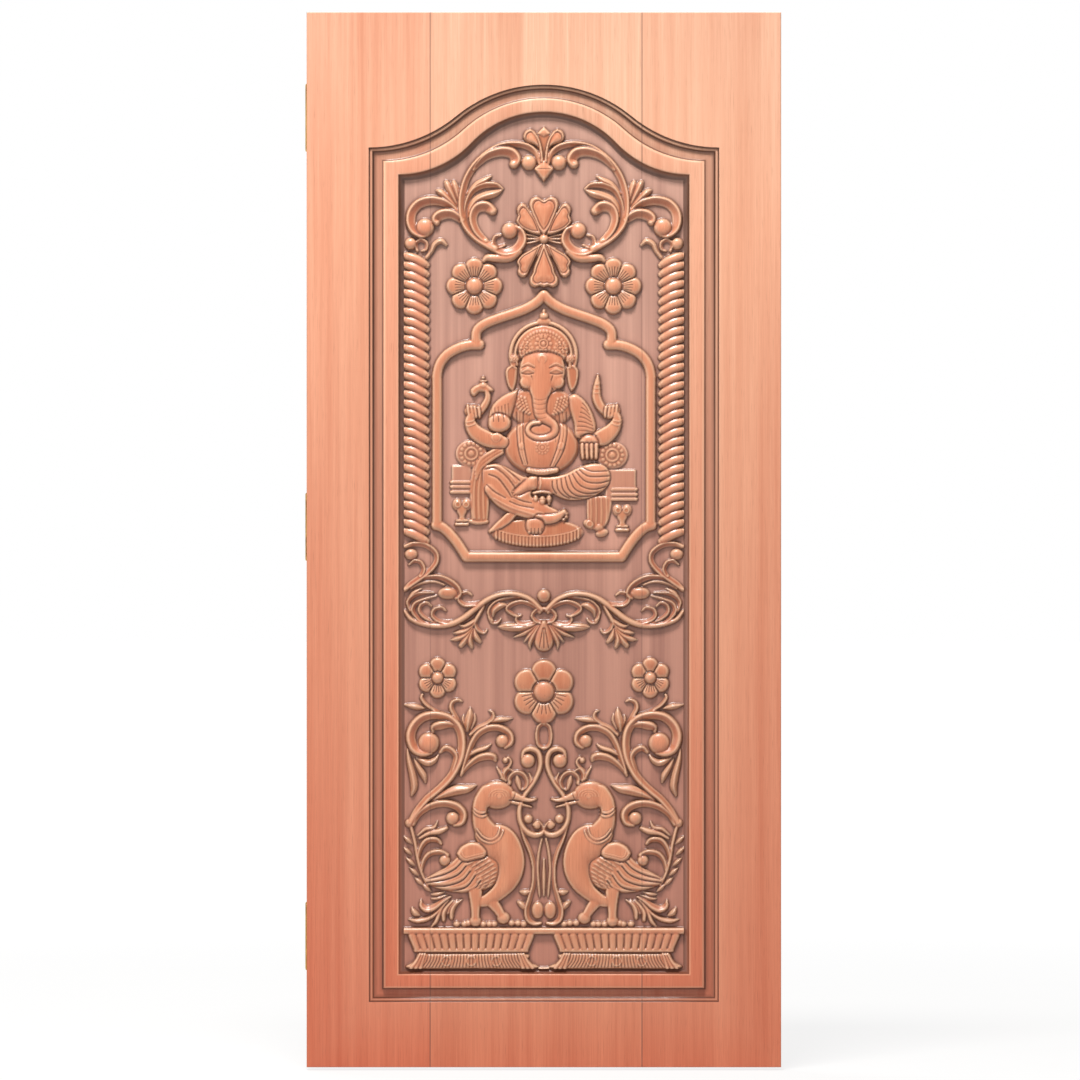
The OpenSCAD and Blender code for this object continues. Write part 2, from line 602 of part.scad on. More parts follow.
// Fluted bowl on a ring and a spreading foot.
module pedestal() {
  middle = -140;
  pitch = 232 / bowl_flutes;
  for (i = [0:bowl_flutes - 1])
    let (u = (i - (bowl_flutes - 1) / 2))
      stroke([[middle + u * pitch * 0.9, 228, pitch * 0.85], [middle + u * pitch, 253, pitch]]);
  stroke([[-247, 224, 9], [-33, 224, 9]], flat);
  hull() {
    translate([-245, 214, 0]) cube([210, 5, 9]);
    translate([-260, 189, 0]) cube([246, 4, 4]);
  }
}

module pedestals() {
  mirrored() pedestal();
  stroke([[-268, 262, 13], [268, 262, 13]], flat);
}

module seated_figure() {
  for (d = figure_domes) dome(d[0], d[1], d[2], d[3], d[4] * relief_h, d[2] > 30 ? 14 : d[2] < 10 ? 6 : 8);
  for (list = figure_bodies)
    hull() {
      for (d = list) dome(d[0], d[1], d[2], d[3], d[4] * relief_h, d[2] > 40 ? 10 : 8);
    }
  for (p = figure_limbs) stroke(p, round);
  for (p = figure_ridges) stroke(p[1], p[0] > 3 ? flat : ridge, 1, p[0]);
  for (p = figure_legs) stroke(p, round, 1, -3);
  stroke(figure_trunk, round, 1, figure_extra);
  block(-174, 1136, -116, 1202, 5);
  block(112, 1125, 174, 1202, 5);
  block(-179, 1120, -141, 1136, 8);
  block(-176, 1112, -142, 1121, 6);
  block(-179, 1098, -141, 1112, 9);
  block(130, 1110, 179, 1126, 8);
  block(132, 1102, 176, 1111, 6);
  block(130, 1088, 179, 1102, 9);
}

module carving() {
  translate([0, ground_bottom, 0]) scale([carve_x, carve_y, 1]) translate([0, -drawn_bottom, 0]) {
    crest();
    rosette();
    mirrored() rope_column();
    niche();
    flowers();
    seated_figure();
    swag();
    vine();
    urn();
    mirrored() bird();
    pedestals();
  }
}

// Solid taken out of the face: moulding, cove and ground in one.
module panel_recess() {
  lift = 1;
  rings = [for (p = moulding_profile) [for (q = moulding_outline(p[0])) [q.x, q.y, leaf_t - p[1]]]];
  rim = [for (q = moulding_outline(0)) [q.x, q.y, leaf_t + lift]];
  layers = concat([rim], rings);
  m = len(rim);
  n = len(layers);
  faces = concat(
    [[for (j = [m - 1:-1:0]) j]],
    [
      for (i = [0:n - 2])
        for (j = [0:m - 1])
          let (a = i * m + j, b = i * m + (j + 1) % m)
          each [[a, b, a + m], [b, b + m, a + m]]
    ],
    [[for (j = [0:m - 1]) (n - 1) * m + j]]
  );
  polyhedron([for (r = layers) each r], faces);
}

// Leaf lying on its back: X across, Y up the leaf, Z toward the face.
module carved_slab() {
  difference() {
    translate([-half_w, 0, 0]) cube([leaf_w, leaf_h, leaf_t]);
    panel_recess();
  }
  translate([0, 0, leaf_t - ground_depth]) carving();
}

module tongue_space(x, play) {
  translate([
    x - tongue_w / 2 - play,
    tongue_y - tongue_t / 2 - play,
    tongue_stop - play
  ])
    cube([tongue_w + 2 * play, tongue_t + 2 * play, leaf_h - 2 * tongue_stop + 2 * play]);
}

module board(x0, x1) {
  translate([0, leaf_t / 2, 0]) rotate([90, 0, 0]) intersection() {
    carved_slab();
    translate([x0, -1, -1]) cube([x1 - x0, leaf_h + 2, leaf_t + 2]);
  }
}

// Housing for both plates and the holes for the screws in the edge of the leaf.
module hinge_housing(z) {
  translate([-half_w - 1, plate_front_y - housing_play, z - hinge_h / 2 - housing_play])
    cube([housing_x + half_w + 1, plate_w + housing_play + 1, hinge_h + 2 * housing_play]);
  each_screw(z) translate([0, 0, -1])
    cylinder(r = (screw_r + screw_play) / cos(180 / 16), h = screw_len + 2, $fn = 16);
}

// Children point into the leaf from the inner face of the door plate.
module each_screw(z) {
  for (dy = [-0.5, 0.5], dz = [-0.5, 0.5])
    translate([door_plate_x, plate_mid_y + dy * screw_pitch_y, z + dz * leaf_screw_pitch_z])
      rotate([0, 90, 0]) children();
}

module screw_sink() {
  cylinder(r1 = screw_head_r + screw_play, r2 = screw_r + screw_play, h = screw_head_h, $fn = 32);
  translate([0, 0, -0.5]) cylinder(r = screw_r + screw_play, h = plate_t + 1, $fn = 32);
}

module knuckle_ring(z, i) {
  translate([pin_x, pin_y, z - hinge_h / 2 + i * (knuckle_h + knuckle_gap)])
    cylinder(r = knuckle_r, h = knuckle_h, $fn = 48);
}

module knuckle_strap(z, i, x) {
  translate([x, leaf_t / 2 - 1, z - hinge_h / 2 + i * (knuckle_h + knuckle_gap)])
    cube([plate_t, pin_y - leaf_t / 2 + 1, knuckle_h]);
}

module pin_bore(z) {
  translate([pin_x, pin_y, z - hinge_h / 2 - 1])
    cylinder(r = pin_r + pin_clearance, h = hinge_h + 2, $fn = 48);
}

module door_plate(z) {
  color(brass) difference() {
    union() {
      translate([door_plate_x, plate_front_y, z - hinge_h / 2]) cube([plate_t, plate_w, hinge_h]);
      for (i = [1, 3]) {
        knuckle_ring(z, i);
        knuckle_strap(z, i, door_plate_x);
      }
    }
    pin_bore(z);
    each_screw(z) screw_sink();
  }
}

module jamb_plate(z) {
  x = -half_w - edge_gap;
  color(brass) difference() {
    union() {
      translate([x, plate_front_y, z - hinge_h / 2]) cube([plate_t, plate_w, hinge_h]);
      for (i = [0, 2, 4]) {
        knuckle_ring(z, i);
        knuckle_strap(z, i, x);
      }
    }
    pin_bore(z);
    for (dy = [-0.5, 0.5], dz = [-0.5, 0.5])
      translate([x + plate_t, plate_mid_y + dy * screw_pitch_y, z + dz * screw_pitch_z])
        rotate([0, -90, 0]) screw_sink();
  }
}

module hinge_pin(z) {
  color(brass) translate([pin_x, pin_y, z - hinge_h / 2]) {
    cylinder(r = pin_r, h = hinge_h, $fn = 48);
    translate([0, 0, -button_h]) cylinder(r1 = knuckle_r - 1, r2 = knuckle_r, h = button_h, $fn = 48);
    translate([0, 0, hinge_h]) cylinder(r1 = knuckle_r, r2 = knuckle_r - 1, h = button_h, $fn = 48);
  }
}

module left_board() {
  color(wood) difference() {
    board(-half_w, -left_seam_x);
    tongue_space(-left_seam_x, tongue_clearance);
    for (z = hinge_zs) hinge_housing(z);
  }
}

module middle_board() {
  color(wood) difference() {
    board(-left_seam_x, right_seam_x);
    tongue_space(-left_seam_x, tongue_clearance);
    tongue_space(right_seam_x, tongue_clearance);
  }
}

module right_board() {
  color(wood) difference() {
    board(right_seam_x, half_w);
    tongue_space(right_seam_x, tongue_clearance);
  }
}

module left_tongue() {
  color(pale_wood) tongue_space(-left_seam_x, 0);
}

module right_tongue() {
  color(pale_wood) tongue_space(right_seam_x, 0);
}

module top_door_plate() {
  door_plate(hinge_zs[2]);
}

module middle_door_plate() {
  door_plate(hinge_zs[1]);
}

module bottom_door_plate() {
  door_plate(hinge_zs[0]);
}

module top_jamb_plate() {
  jamb_plate(hinge_zs[2]);
}

module middle_jamb_plate() {
  jamb_plate(hinge_zs[1]);
}

module bottom_jamb_plate() {
  jamb_plate(hinge_zs[0]);
}

module top_pin() {
  hinge_pin(hinge_zs[2]);
}

module middle_pin() {
  hinge_pin(hinge_zs[1]);
}

module bottom_pin() {
  hinge_pin(hinge_zs[0]);
}

module hinge_screws() {
  color(brass) for (z = hinge_zs) each_screw(z) {
    cylinder(r1 = screw_head_r, r2 = screw_r, h = screw_head_h, $fn = 32);
    translate([0, 0, screw_head_h]) cylinder(r = screw_r, h = screw_len - screw_head_h, $fn = 32);
  }
}

left_board();
middle_board();
right_board();
left_tongue();
right_tongue();
top_door_plate();
middle_door_plate();
bottom_door_plate();
top_jamb_plate();
middle_jamb_plate();
bottom_jamb_plate();
top_pin();
middle_pin();
bottom_pin();
hinge_screws();
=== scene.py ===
"""Carved temple door leaf: relief carving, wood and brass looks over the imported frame."""
import math

import bmesh
import bpy
import numpy as np
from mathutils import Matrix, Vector


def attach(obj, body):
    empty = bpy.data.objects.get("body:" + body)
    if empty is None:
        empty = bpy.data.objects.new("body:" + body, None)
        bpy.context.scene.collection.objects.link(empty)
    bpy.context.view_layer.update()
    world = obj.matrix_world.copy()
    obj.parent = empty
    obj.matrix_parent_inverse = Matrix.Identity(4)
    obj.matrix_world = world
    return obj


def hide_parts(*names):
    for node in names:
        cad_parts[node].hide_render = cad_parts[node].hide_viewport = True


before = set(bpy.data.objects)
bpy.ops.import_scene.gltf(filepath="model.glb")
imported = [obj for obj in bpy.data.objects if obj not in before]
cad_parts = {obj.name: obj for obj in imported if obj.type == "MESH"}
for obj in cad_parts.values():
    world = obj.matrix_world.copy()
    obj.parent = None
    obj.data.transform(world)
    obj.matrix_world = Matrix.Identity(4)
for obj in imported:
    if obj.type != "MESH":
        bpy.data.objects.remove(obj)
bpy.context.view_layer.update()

# Sizes in millimetres, as in the construction.
LEAF_W = 914.0
LEAF_H = 2032.0
LEAF_T = 40.0
CHAMFER = 1.2
PANEL_HALF = 338.0
PANEL_BOTTOM = 125.0
SHOULDER = 1772.0
CROWN = 1893.0
RAIL_SHARE = 0.94
ARCH_SHARE = 0.905
GROUND = 15.0
RELIEF = 12.0
FACE_CLEAR = 1.2
SEAMS = (-219.0, 189.0)
HINGE_ZS = (250.0, 1041.0, 1832.0)
HOUSING_DEPTH = 4.5
HOUSING_REACH = 30.3
HOUSING_HALF = 62.8
NICHE_W = 20

# Where the mesh of the carved ground ends, just under the foot of the moulding.
GROUND_INSET = 68.0
GROUND_LAP = 1.0
GROUND_HALF = 270.6
GROUND_BOTTOM = 188.4

# Sampling of the carved ground.
STEP = 1.5
FINE = STEP / 2
GX0, GX1 = -271.5, 271.5
GZ0, GZ1 = 186.0, 1836.0
xs = np.arange(int(round((GX1 - GX0) / FINE)) + 1) * FINE + GX0
zs = np.arange(int(round((GZ1 - GZ0) / FINE)) + 1) * FINE + GZ0
height = np.zeros((len(zs), len(xs)))


def window(x0, x1, z0, z1):
    """Slices of the height map that cover a box, with the coordinates inside it."""
    i0 = max(int((x0 - GX0) / FINE), 0)
    i1 = min(int((x1 - GX0) / FINE) + 2, len(xs))
    j0 = max(int((z0 - GZ0) / FINE), 0)
    j1 = min(int((z1 - GZ0) / FINE) + 2, len(zs))
    part = (slice(j0, j1), slice(i0, i1))
    gx, gz = np.meshgrid(xs[i0:i1], zs[j0:j1])
    return part, gx, gz


def window_round(q, m):
    """Window round a row of points, with a margin."""
    return window(q[:, 0].min() - m, q[:, 0].max() + m, q[:, 1].min() - m, q[:, 1].max() + m)


def curve(points, gap=2.5):
    """Smooth curve through control points, about one sample every gap millimetres."""
    p = np.array(points, float)
    out = []
    for i in range(len(p) - 1):
        a, b = p[max(i - 1, 0)], p[i]
        c, d = p[i + 1], p[min(i + 2, len(p) - 1)]
        n = max(2, int(np.hypot(*(c - b)[:2]) / gap))
        for k in range(n):
            t = k / n
            out.append(0.5 * (2 * b + (c - a) * t + (2 * a - 5 * b + 4 * c - d) * t * t
                              + (3 * b - a - 3 * c + d) * t ** 3))
    out.append(p[-1])
    return np.array(out)


def around(x, z, r, degrees):
    """Point at a distance and direction from a centre."""
    a = math.radians(degrees)
    return [x + r * math.cos(a), z + r * math.sin(a)]


def turning(q):
    """Total signed turn of a curve, in radians, positive to the left."""
    d = np.diff(q[:, :2], axis=0)
    a = np.unwrap(np.arctan2(d[:, 1], d[:, 0]))
    return a[-1] - a[0]


def along(points):
    """For each place near a curve: share of the half width, width, share of the length, side."""
    q = curve(points)
    w = np.maximum(q[:, 2] / 2, 0.6)
    part, gx, gz = window_round(q, w.max() + 2)
    best = np.full(gx.shape, 9.0)
    side = np.zeros(gx.shape)
    place = np.zeros(gx.shape)
    width = np.full(gx.shape, 1.0)
    n = len(q) - 1
    for i in range(n):
        ax, az = q[i, 0], q[i, 1]
        dx, dz = q[i + 1, 0] - ax, q[i + 1, 1] - az
        ll = dx * dx + dz * dz + 1e-9
        t = np.clip(((gx - ax) * dx + (gz - az) * dz) / ll, 0, 1)
        wi = w[i] + (w[i + 1] - w[i]) * t
        u = np.hypot(gx - ax - t * dx, gz - az - t * dz) / wi
        near = u < best
        cross = dx * (gz - az) - dz * (gx - ax)
        best = np.where(near, u, best)
        side = np.where(near, np.sign(cross), side)
        place = np.where(near, (i + t) / n, place)
        width = np.where(near, wi * 2, width)
    return part, best, width, place, side, q


def edge(u, soft=0.12):
    """1 inside, falling to 0 at the rim of a shape."""
    return np.clip((1.0 - u) / soft, 0, 1) ** 0.5


def swell(u):
    """Round section: 1 on the middle line, 0 at the rim."""
    return np.sqrt(np.clip(1 - u ** 2, 0, 1))


def rounded(u, top, base, flat):
    """Height of a rounded shape between base and top; flat is the share it has at its rim."""
    return base + (top - base) * (flat + (1 - flat) * swell(u))


def rise(width):
    """Usual height of a stroke of this width."""
    return np.minimum(RELIEF, 3.5 + 0.55 * width)


def lay(part, h):
    """Lays a shape on the ground; the higher of the two stays."""
    np.maximum(height[part], h, out=height[part])


def cut(part, h):
    """Takes a depth away, down to a little above the ground."""
    height[part] -= np.minimum(h, np.maximum(height[part] - 0.4, 0))


def blur(a, radius):
    """Soft blur from three passes of a running mean each way; radius in millimetres."""
    n = max(1, int(round(radius / FINE)))
    for _ in ("upright", "across"):
        for _ in range(3):
            c = np.cumsum(np.pad(a, ((n + 1, n), (0, 0)), mode="edge"), axis=0)
            a = (c[2 * n + 1:] - c[:-2 * n - 1]) / (2 * n + 1)
        a = a.T
    return a


def stem(points, top=None, crest=0.5):
    """Rolled stroke: a crest toward the outside of the bend and a scoop on the inside."""
    part, u, width, place, side, q = along(points)
    lean = crest * np.clip(turning(q) / 1.6, -1, 1)
    v = -u * side * (1 if lean >= 0 else -1)
    c = abs(lean)
    outer = np.clip((v - c) / (1 - c + 1e-6), 0, 1)
    inner = np.clip((v + 1) / (1 + c), 0, 1)
    roll = np.where(v > c, 0.3 + 0.7 * swell(outer), 0.34 + 0.66 * inner ** (1 + 1.4 * c))
    even = 0.25 + 0.75 * swell(u)
    share = min(1, c * 3) * np.clip(np.minimum(place, 1 - place) / 0.1, 0, 1)
    h = (rise(width) if top is None else top) * (roll * share + even * (1 - share))
    lay(part, np.where(u < 1, h * edge(u), 0))


def leaf(points, top=None, fold=0.55):
    """Leaf with a crease line: high in the middle, thin at the edges."""
    part, u, width, *_ = along(points)
    h = (rise(width) if top is None else top) * (1 - fold * u)
    lay(part, np.where(u < 1, h * edge(u), 0))


def hold(part, u, h, margin, over):
    """Lays a shape down; a shape in front hides what is under it and gets a cut line round it."""
    if over:
        cut(part, np.where((u >= 1) & (u < 1 + margin), 2.6 * (1 - (u - 1) / margin), 0))
        height[part] = np.where(u < 1, h, height[part])
    else:
        lay(part, np.where(u < 1, h, 0))


def limb(points, top, base=0.0, flat=0.45, over=False):
    """Rounded stroke of set height, for limbs and folds of cloth."""
    part, u, width, *_ = along(points)
    h = rounded(u, top, base, flat)
    hold(part, u, h if over else h * edge(u, 0.1), 5.0 / np.maximum(width, 4), over)


def pad(points, top, soft=12.0, base=0.0, flat=0.4, over=False):
    """Swelling shape inside a closed smooth outline; soft is the reach of its rounding."""
    q = curve(points + [points[0]], 4.0)
    part, gx, gz = window_round(q, 4.0)
    reach = np.full(gx.shape, 1e9)
    inside = np.zeros(gx.shape, bool)
    for a, b in zip(q, q[1:]):
        d = b - a
        t = np.clip(((gx - a[0]) * d[0] + (gz - a[1]) * d[1]) / (d @ d + 1e-9), 0, 1)
        reach = np.minimum(reach, np.hypot(gx - a[0] - t * d[0], gz - a[1] - t * d[1]))
        if a[1] != b[1]:
            hit = (gz >= min(a[1], b[1])) & (gz < max(a[1], b[1]))
            inside ^= hit & (gx < a[0] + (gz - a[1]) * d[0] / d[1])
    t = np.clip(reach / soft, 0, 1)
    if soft > 20:
        t = np.clip(blur(np.where(inside, t, 0), 4.0), 0, 1)
    h = rounded(1 - t, top, base, flat)
    u = np.where(inside, 0.0, 1 + reach / 3.0)
    hold(part, u, h if over else h * np.clip(reach / 0.8, 0, 1), 1.0, over)


def groove(points, depth=1.6):
    """Cut line with a round bottom."""
    part, u, *_ = along(points)
    cut(part, np.where(u < 1, depth * (1 - u ** 2), 0))


def bump(points, rise_by=1.2):
    """Raised line on top of what is there."""
    part, u, *_ = along(points)
    height[part] += np.where(u < 1, rise_by * swell(u), 0)


def oval(x, z, rx, rz, turn=0.0):
    """Share of the way from the middle of an oval to its rim, at each place near it."""
    m = max(rx, rz) + 2
    part, gx, gz = window(x - m, x + m, z - m, z + m)
    c, s = math.cos(math.radians(turn)), math.sin(math.radians(turn))
    dx = (gx - x) * c + (gz - z) * s
    dz = -(gx - x) * s + (gz - z) * c
    return part, np.hypot(dx / rx, dz / rz)


def dome(x, z, rx, rz, top, base=0.0, turn=0.0, flat=0.15):
    """Rounded oval boss."""
    part, u = oval(x, z, rx, rz, turn)
    lay(part, np.where(u < 1, rounded(u, top, base, flat) * edge(u, 0.08), 0))


def bead(x, z, r):
    """Round boss, higher the larger it is."""
    dome(x, z, r, r, min(13.5, 3.5 + 0.65 * r))


def stud(x, z, r, rise_by):
    """Small boss added to what is there."""
    part, u = oval(x, z, r, r)
    height[part] += np.where(u < 1, rise_by * swell(u), 0)


def ring(x, z, r, width, rise_by):
    """Raised round line added to what is there."""
    part, u = oval(x, z, r, r)
    d = np.abs(u - 1) * r / (width / 2)
    height[part] += np.where(d < 1, rise_by * swell(d), 0)


def slab(points, top, bevel=3.0):
    """Flat-topped shape with a straight-sided outline, listed anticlockwise and convex."""
    p = np.array(points, float)
    part, gx, gz = window_round(p, 2)
    inside = np.full(gx.shape, 1e9)
    for i in range(len(p)):
        a, b = p[i], p[(i + 1) % len(p)]
        e = (b - a) / np.hypot(*(b - a))
        inside = np.minimum(inside, e[0] * (gz - a[1]) - e[1] * (gx - a[0]))
    h = rounded(1 - np.clip(inside / bevel, 0, 1), top, 0, 0.55)
    lay(part, np.where(inside > 0, h * np.clip(inside, 0, 1), 0))


def petal(x, z, angle, r0, r1, w, top, dip=0.0):
    """Petal from the core outward with a rounded tip; dip lowers its inner end."""
    a = math.radians(angle)
    m = r1 + w
    part, gx, gz = window(x - m, x + m, z - m, z + m)
    s = ((gx - x) * math.cos(a) + (gz - z) * math.sin(a) - r0) / (r1 - r0)
    d = -(gx - x) * math.sin(a) + (gz - z) * math.cos(a)
    turn_at = 1 - 0.5 * w / (r1 - r0)
    sc = np.clip(s / turn_at, 0, 1)
    half = w / 2 * (0.22 + 0.78 * np.sin(sc * math.pi / 2) ** 1.2)
    u = np.hypot(d / half, np.clip((s - turn_at) / (1 - turn_at), 0, 9))
    u = np.where(s < 0, 9, u)
    h = rounded(u, top, 0, 0.3) * (1 - dip * (1 - np.clip(s, 0, 1)))
    lay(part, np.where(u < 1, h * edge(u), 0))


def flower(x, z, r, count, start, core, share, top, veins):
    """Open flower: petals parted by deep cuts, fine lines on some of them, and a round core."""
    for k in range(count):
        petal(x, z, start + 360 * k / count, core * 0.4, r, r * share, top, 0.5)
    for k in range(count):
        a = start + 360 * (k + 0.5) / count
        groove([[*around(x, z, core, a), 2.6], [*around(x, z, r * 0.8, a), 2.4]], 7.0)
    for k in veins:
        for off in (-0.3, -0.1, 0.1, 0.3):
            a = start + 360 * (k + off) / count
            groove([[*around(x, z, core * 1.05, a), 2.8], [*around(x, z, r * 0.68, a), 1.4]], 2.2)
    part, u = oval(x, z, core * 1.14, core * 1.14)
    height[part] = np.where(u < 1, np.minimum(height[part], 4.0), height[part])
    dome(x, z, core, core, 13.2)


def rimmed(points, top):
    """Petal with a raised line just inside its edge and a swelling in the middle."""
    q = np.array(points, float)
    mid = q.mean(axis=0)
    closed = list(q) + [q[0]]
    pad(points, top, 6, 0, 0.5)
    bump([[*(mid + (a - mid) * 0.86), 3.0] for a in closed], 1.5)
    groove([[*(mid + (a - mid) * 0.72), 3.0] for a in closed], 1.6)
    pad([list(mid + (a - mid) * 0.6) for a in q], top + 1.6, 12, 0, 0.72)


def string(points, r, gap, rise_by):
    """Row of small beads along a curve."""
    q = curve([[x, z, 1] for x, z in points], 0.5)
    run = np.concatenate([[0], np.cumsum(np.hypot(*np.diff(q[:, :2], axis=0).T))])
    for s in np.arange(gap / 2, run[-1], gap):
        stud(np.interp(s, run, q[:, 0]), np.interp(s, run, q[:, 1]), r, rise_by)


def disc(x, z, r, spokes, rise_by):
    """Small round flower of rings and spokes, added to what is there."""
    for k in range(spokes):
        stud(*around(x, z, r * 0.82, 360 * k / spokes), r * 2.3 / spokes, rise_by)
    ring(x, z, r * 0.48, r * 0.2, rise_by)
    stud(x, z, r * 0.26, rise_by * 1.2)


def scrolls(stems, leaves, beads=(), crest=0.5):
    """Strokes, leaves and beads of one ornament."""
    for p in stems:
        stem(p, None, crest)
    for p in leaves:
        leaf(p)
    for b in beads:
        bead(*b)


# Scrolls under the arch, left half: x, z and width along each stroke.
CREST_STEMS = [
    [[-95, 1577, 16], [-130, 1600, 18], [-152, 1628, 18], [-158, 1665, 16], [-153, 1700, 14],
     [-140, 1728, 14], [-120, 1752, 13], [-92, 1773, 10], [-60, 1779, 12], [-32, 1774, 13],
     [-15, 1761, 12], [-8, 1742, 9]],
    [[-136, 1730, 8], [-112, 1754, 16], [-86, 1764, 20], [-64, 1762, 22], [-54, 1750, 22], [-58, 1740, 18]],
    [[-166, 1648, 10], [-188, 1664, 15], [-214, 1670, 19], [-238, 1665, 20], [-253, 1650, 20],
     [-257, 1632, 20], [-252, 1615, 18], [-238, 1604, 14], [-225, 1604, 8]],
    [[-158, 1632, 14], [-178, 1644, 19], [-196, 1643, 22], [-207, 1636, 20], [-207, 1628, 14]],
    [[-95, 1577, 16], [-75, 1570, 17], [-54, 1576, 19], [-42, 1592, 19], [-44, 1608, 16], [-54, 1619, 10]],
    [[-112, 1592, 12], [-130, 1612, 15], [-137, 1635, 17], [-130, 1654, 20], [-113, 1659, 22],
     [-99, 1650, 18]],
    [[-48, 1572, 14], [-65, 1560, 17], [-90, 1559, 17], [-108, 1560, 14], [-116, 1554, 8]],
    [[-153, 1640, 6], [-148, 1668, 9], [-136, 1689, 11], [-116, 1699, 12], [-94, 1700, 11], [-79, 1693, 4]],
    [[-76, 1584, 6], [-90, 1581, 7], [-97, 1590, 8], [-93, 1600, 8], [-84, 1603, 5]],
    [[-244, 1573, 6], [-246, 1587, 7], [-237, 1594, 8], [-227, 1588, 8], [-227, 1577, 7], [-235, 1573, 5]],
]
CREST_LEAVES = [
    [[-146, 1637, 6], [-142, 1656, 11], [-130, 1671, 15], [-112, 1679, 17], [-94, 1684, 14],
     [-79, 1691, 3]],
    [[-148, 1683, 5], [-130, 1701, 11], [-114, 1709, 12], [-102, 1717, 4]],
    [[-167, 1656, 5], [-184, 1673, 13], [-199, 1686, 13], [-207, 1690, 4]],
    [[-166, 1660, 5], [-178, 1684, 14], [-186, 1701, 13], [-190, 1708, 4]],
    [[-163, 1664, 5], [-168, 1686, 13], [-173, 1702, 12], [-174, 1708, 4]],
    [[-226, 1560, 8], [-217, 1572, 9], [-210, 1586, 11], [-198, 1592, 11], [-188, 1584, 6]],
]
CREST_BEADS = [[-229, 1618, 18], [-66, 1612, 16], [-29, 1743, 15], [-257, 1587, 12]]

# Scrolls across the middle, left half.
SWAG_STEMS = [
    [[-268, 1003, 8], [-250, 1008, 10], [-228, 1005, 11], [-210, 992, 11], [-207, 976, 11],
     [-217, 960, 11], [-236, 945, 12], [-256, 931, 12], [-268, 920, 9]],
    [[-238, 946, 8], [-232, 959, 9], [-238, 972, 9], [-249, 975, 8], [-260, 968, 4]],
    [[-250, 932, 7], [-228, 942, 10], [-203, 944, 11], [-182, 936, 12], [-168, 924, 13], [-163, 911, 11],
     [-170, 903, 6]],
    [[-256, 922, 4], [-236, 932, 6], [-212, 935, 6], [-192, 929, 4]],
    [[-222, 855, 6], [-240, 863, 8], [-252, 877, 9], [-249, 891, 9], [-234, 899, 8], [-207, 908, 3]],
    [[-208, 857, 6], [-227, 865, 8], [-239, 877, 8], [-237, 889, 8], [-226, 894, 7], [-217, 888, 4]],
    [[-258, 880, 6], [-262, 896, 8], [-252, 907, 8], [-236, 913, 7], [-212, 914, 3]],
    [[-268, 878, 7], [-256, 863, 9], [-234, 854, 10], [-206, 850, 11], [-178, 854, 12], [-154, 866, 12],
     [-130, 885, 12], [-106, 902, 11], [-80, 911, 10], [-52, 911, 10], [-26, 901, 10], [-5, 881, 9]],
    [[-178, 857, 8], [-200, 859, 9], [-214, 869, 9], [-211, 881, 8], [-198, 885, 7], [-189, 879, 4]],
    [[-112, 897, 8], [-132, 892, 9], [-152, 891, 10], [-163, 900, 9], [-159, 911, 8], [-147, 914, 7],
     [-139, 909, 4]],
    [[-100, 860, 6], [-106, 875, 8], [-100, 889, 8], [-86, 899, 7], [-64, 904, 5], [-46, 904, 3]],
    [[-106, 868, 6], [-100, 857, 7], [-90, 857, 7], [-83, 864, 3]],
    [[-50, 868, 5], [-62, 874, 8], [-70, 883, 10], [-60, 892, 10], [-42, 896, 9], [-22, 889, 9],
     [-8, 876, 7]],
    [[-44, 870, 4], [-52, 866, 6], [-51, 858, 7], [-40, 855, 7], [-18, 858, 5]],
    [[0, 857, 8], [-14, 859, 8], [-22, 869, 8], [-14, 880, 8], [0, 883, 8]],
    [[-116, 888, 6], [-124, 874, 8], [-132, 860, 8], [-140, 846, 5]],
    [[-123, 872, 5], [-131, 856, 7], [-127, 843, 8], [-116, 837, 7], [-110, 842, 4]],
]
SWAG_LEAVES = [
    [[-260, 904, 5], [-250, 914, 9], [-236, 922, 3]],
    [[-128, 866, 5], [-140, 855, 10], [-153, 849, 9], [-163, 852, 3]],
    [[-134, 854, 5], [-150, 841, 10], [-164, 837, 9], [-174, 836, 3]],
    [[-138, 846, 5], [-154, 831, 11], [-168, 825, 10], [-179, 823, 3]],
    [[-140, 842, 5], [-151, 824, 13], [-160, 812, 10]],
    [[-138, 842, 5], [-143, 823, 12], [-139, 809, 7]],
    [[-134, 844, 5], [-131, 829, 12], [-123, 819, 7]],
    [[-98, 868, 4], [-96, 880, 12], [-84, 889, 13], [-72, 890, 5]],
    [[-88, 848, 3], [-72, 848, 15], [-46, 847, 16], [-26, 850, 10], [-14, 856, 5]],
    [[-16, 850, 4], [-36, 837, 10], [-58, 828, 3]],
    [[-12, 852, 4], [-26, 834, 9], [-38, 819, 3]],
    [[-8, 853, 5], [-20, 833, 12], [-27, 816, 8], [-26, 806, 3]],
]

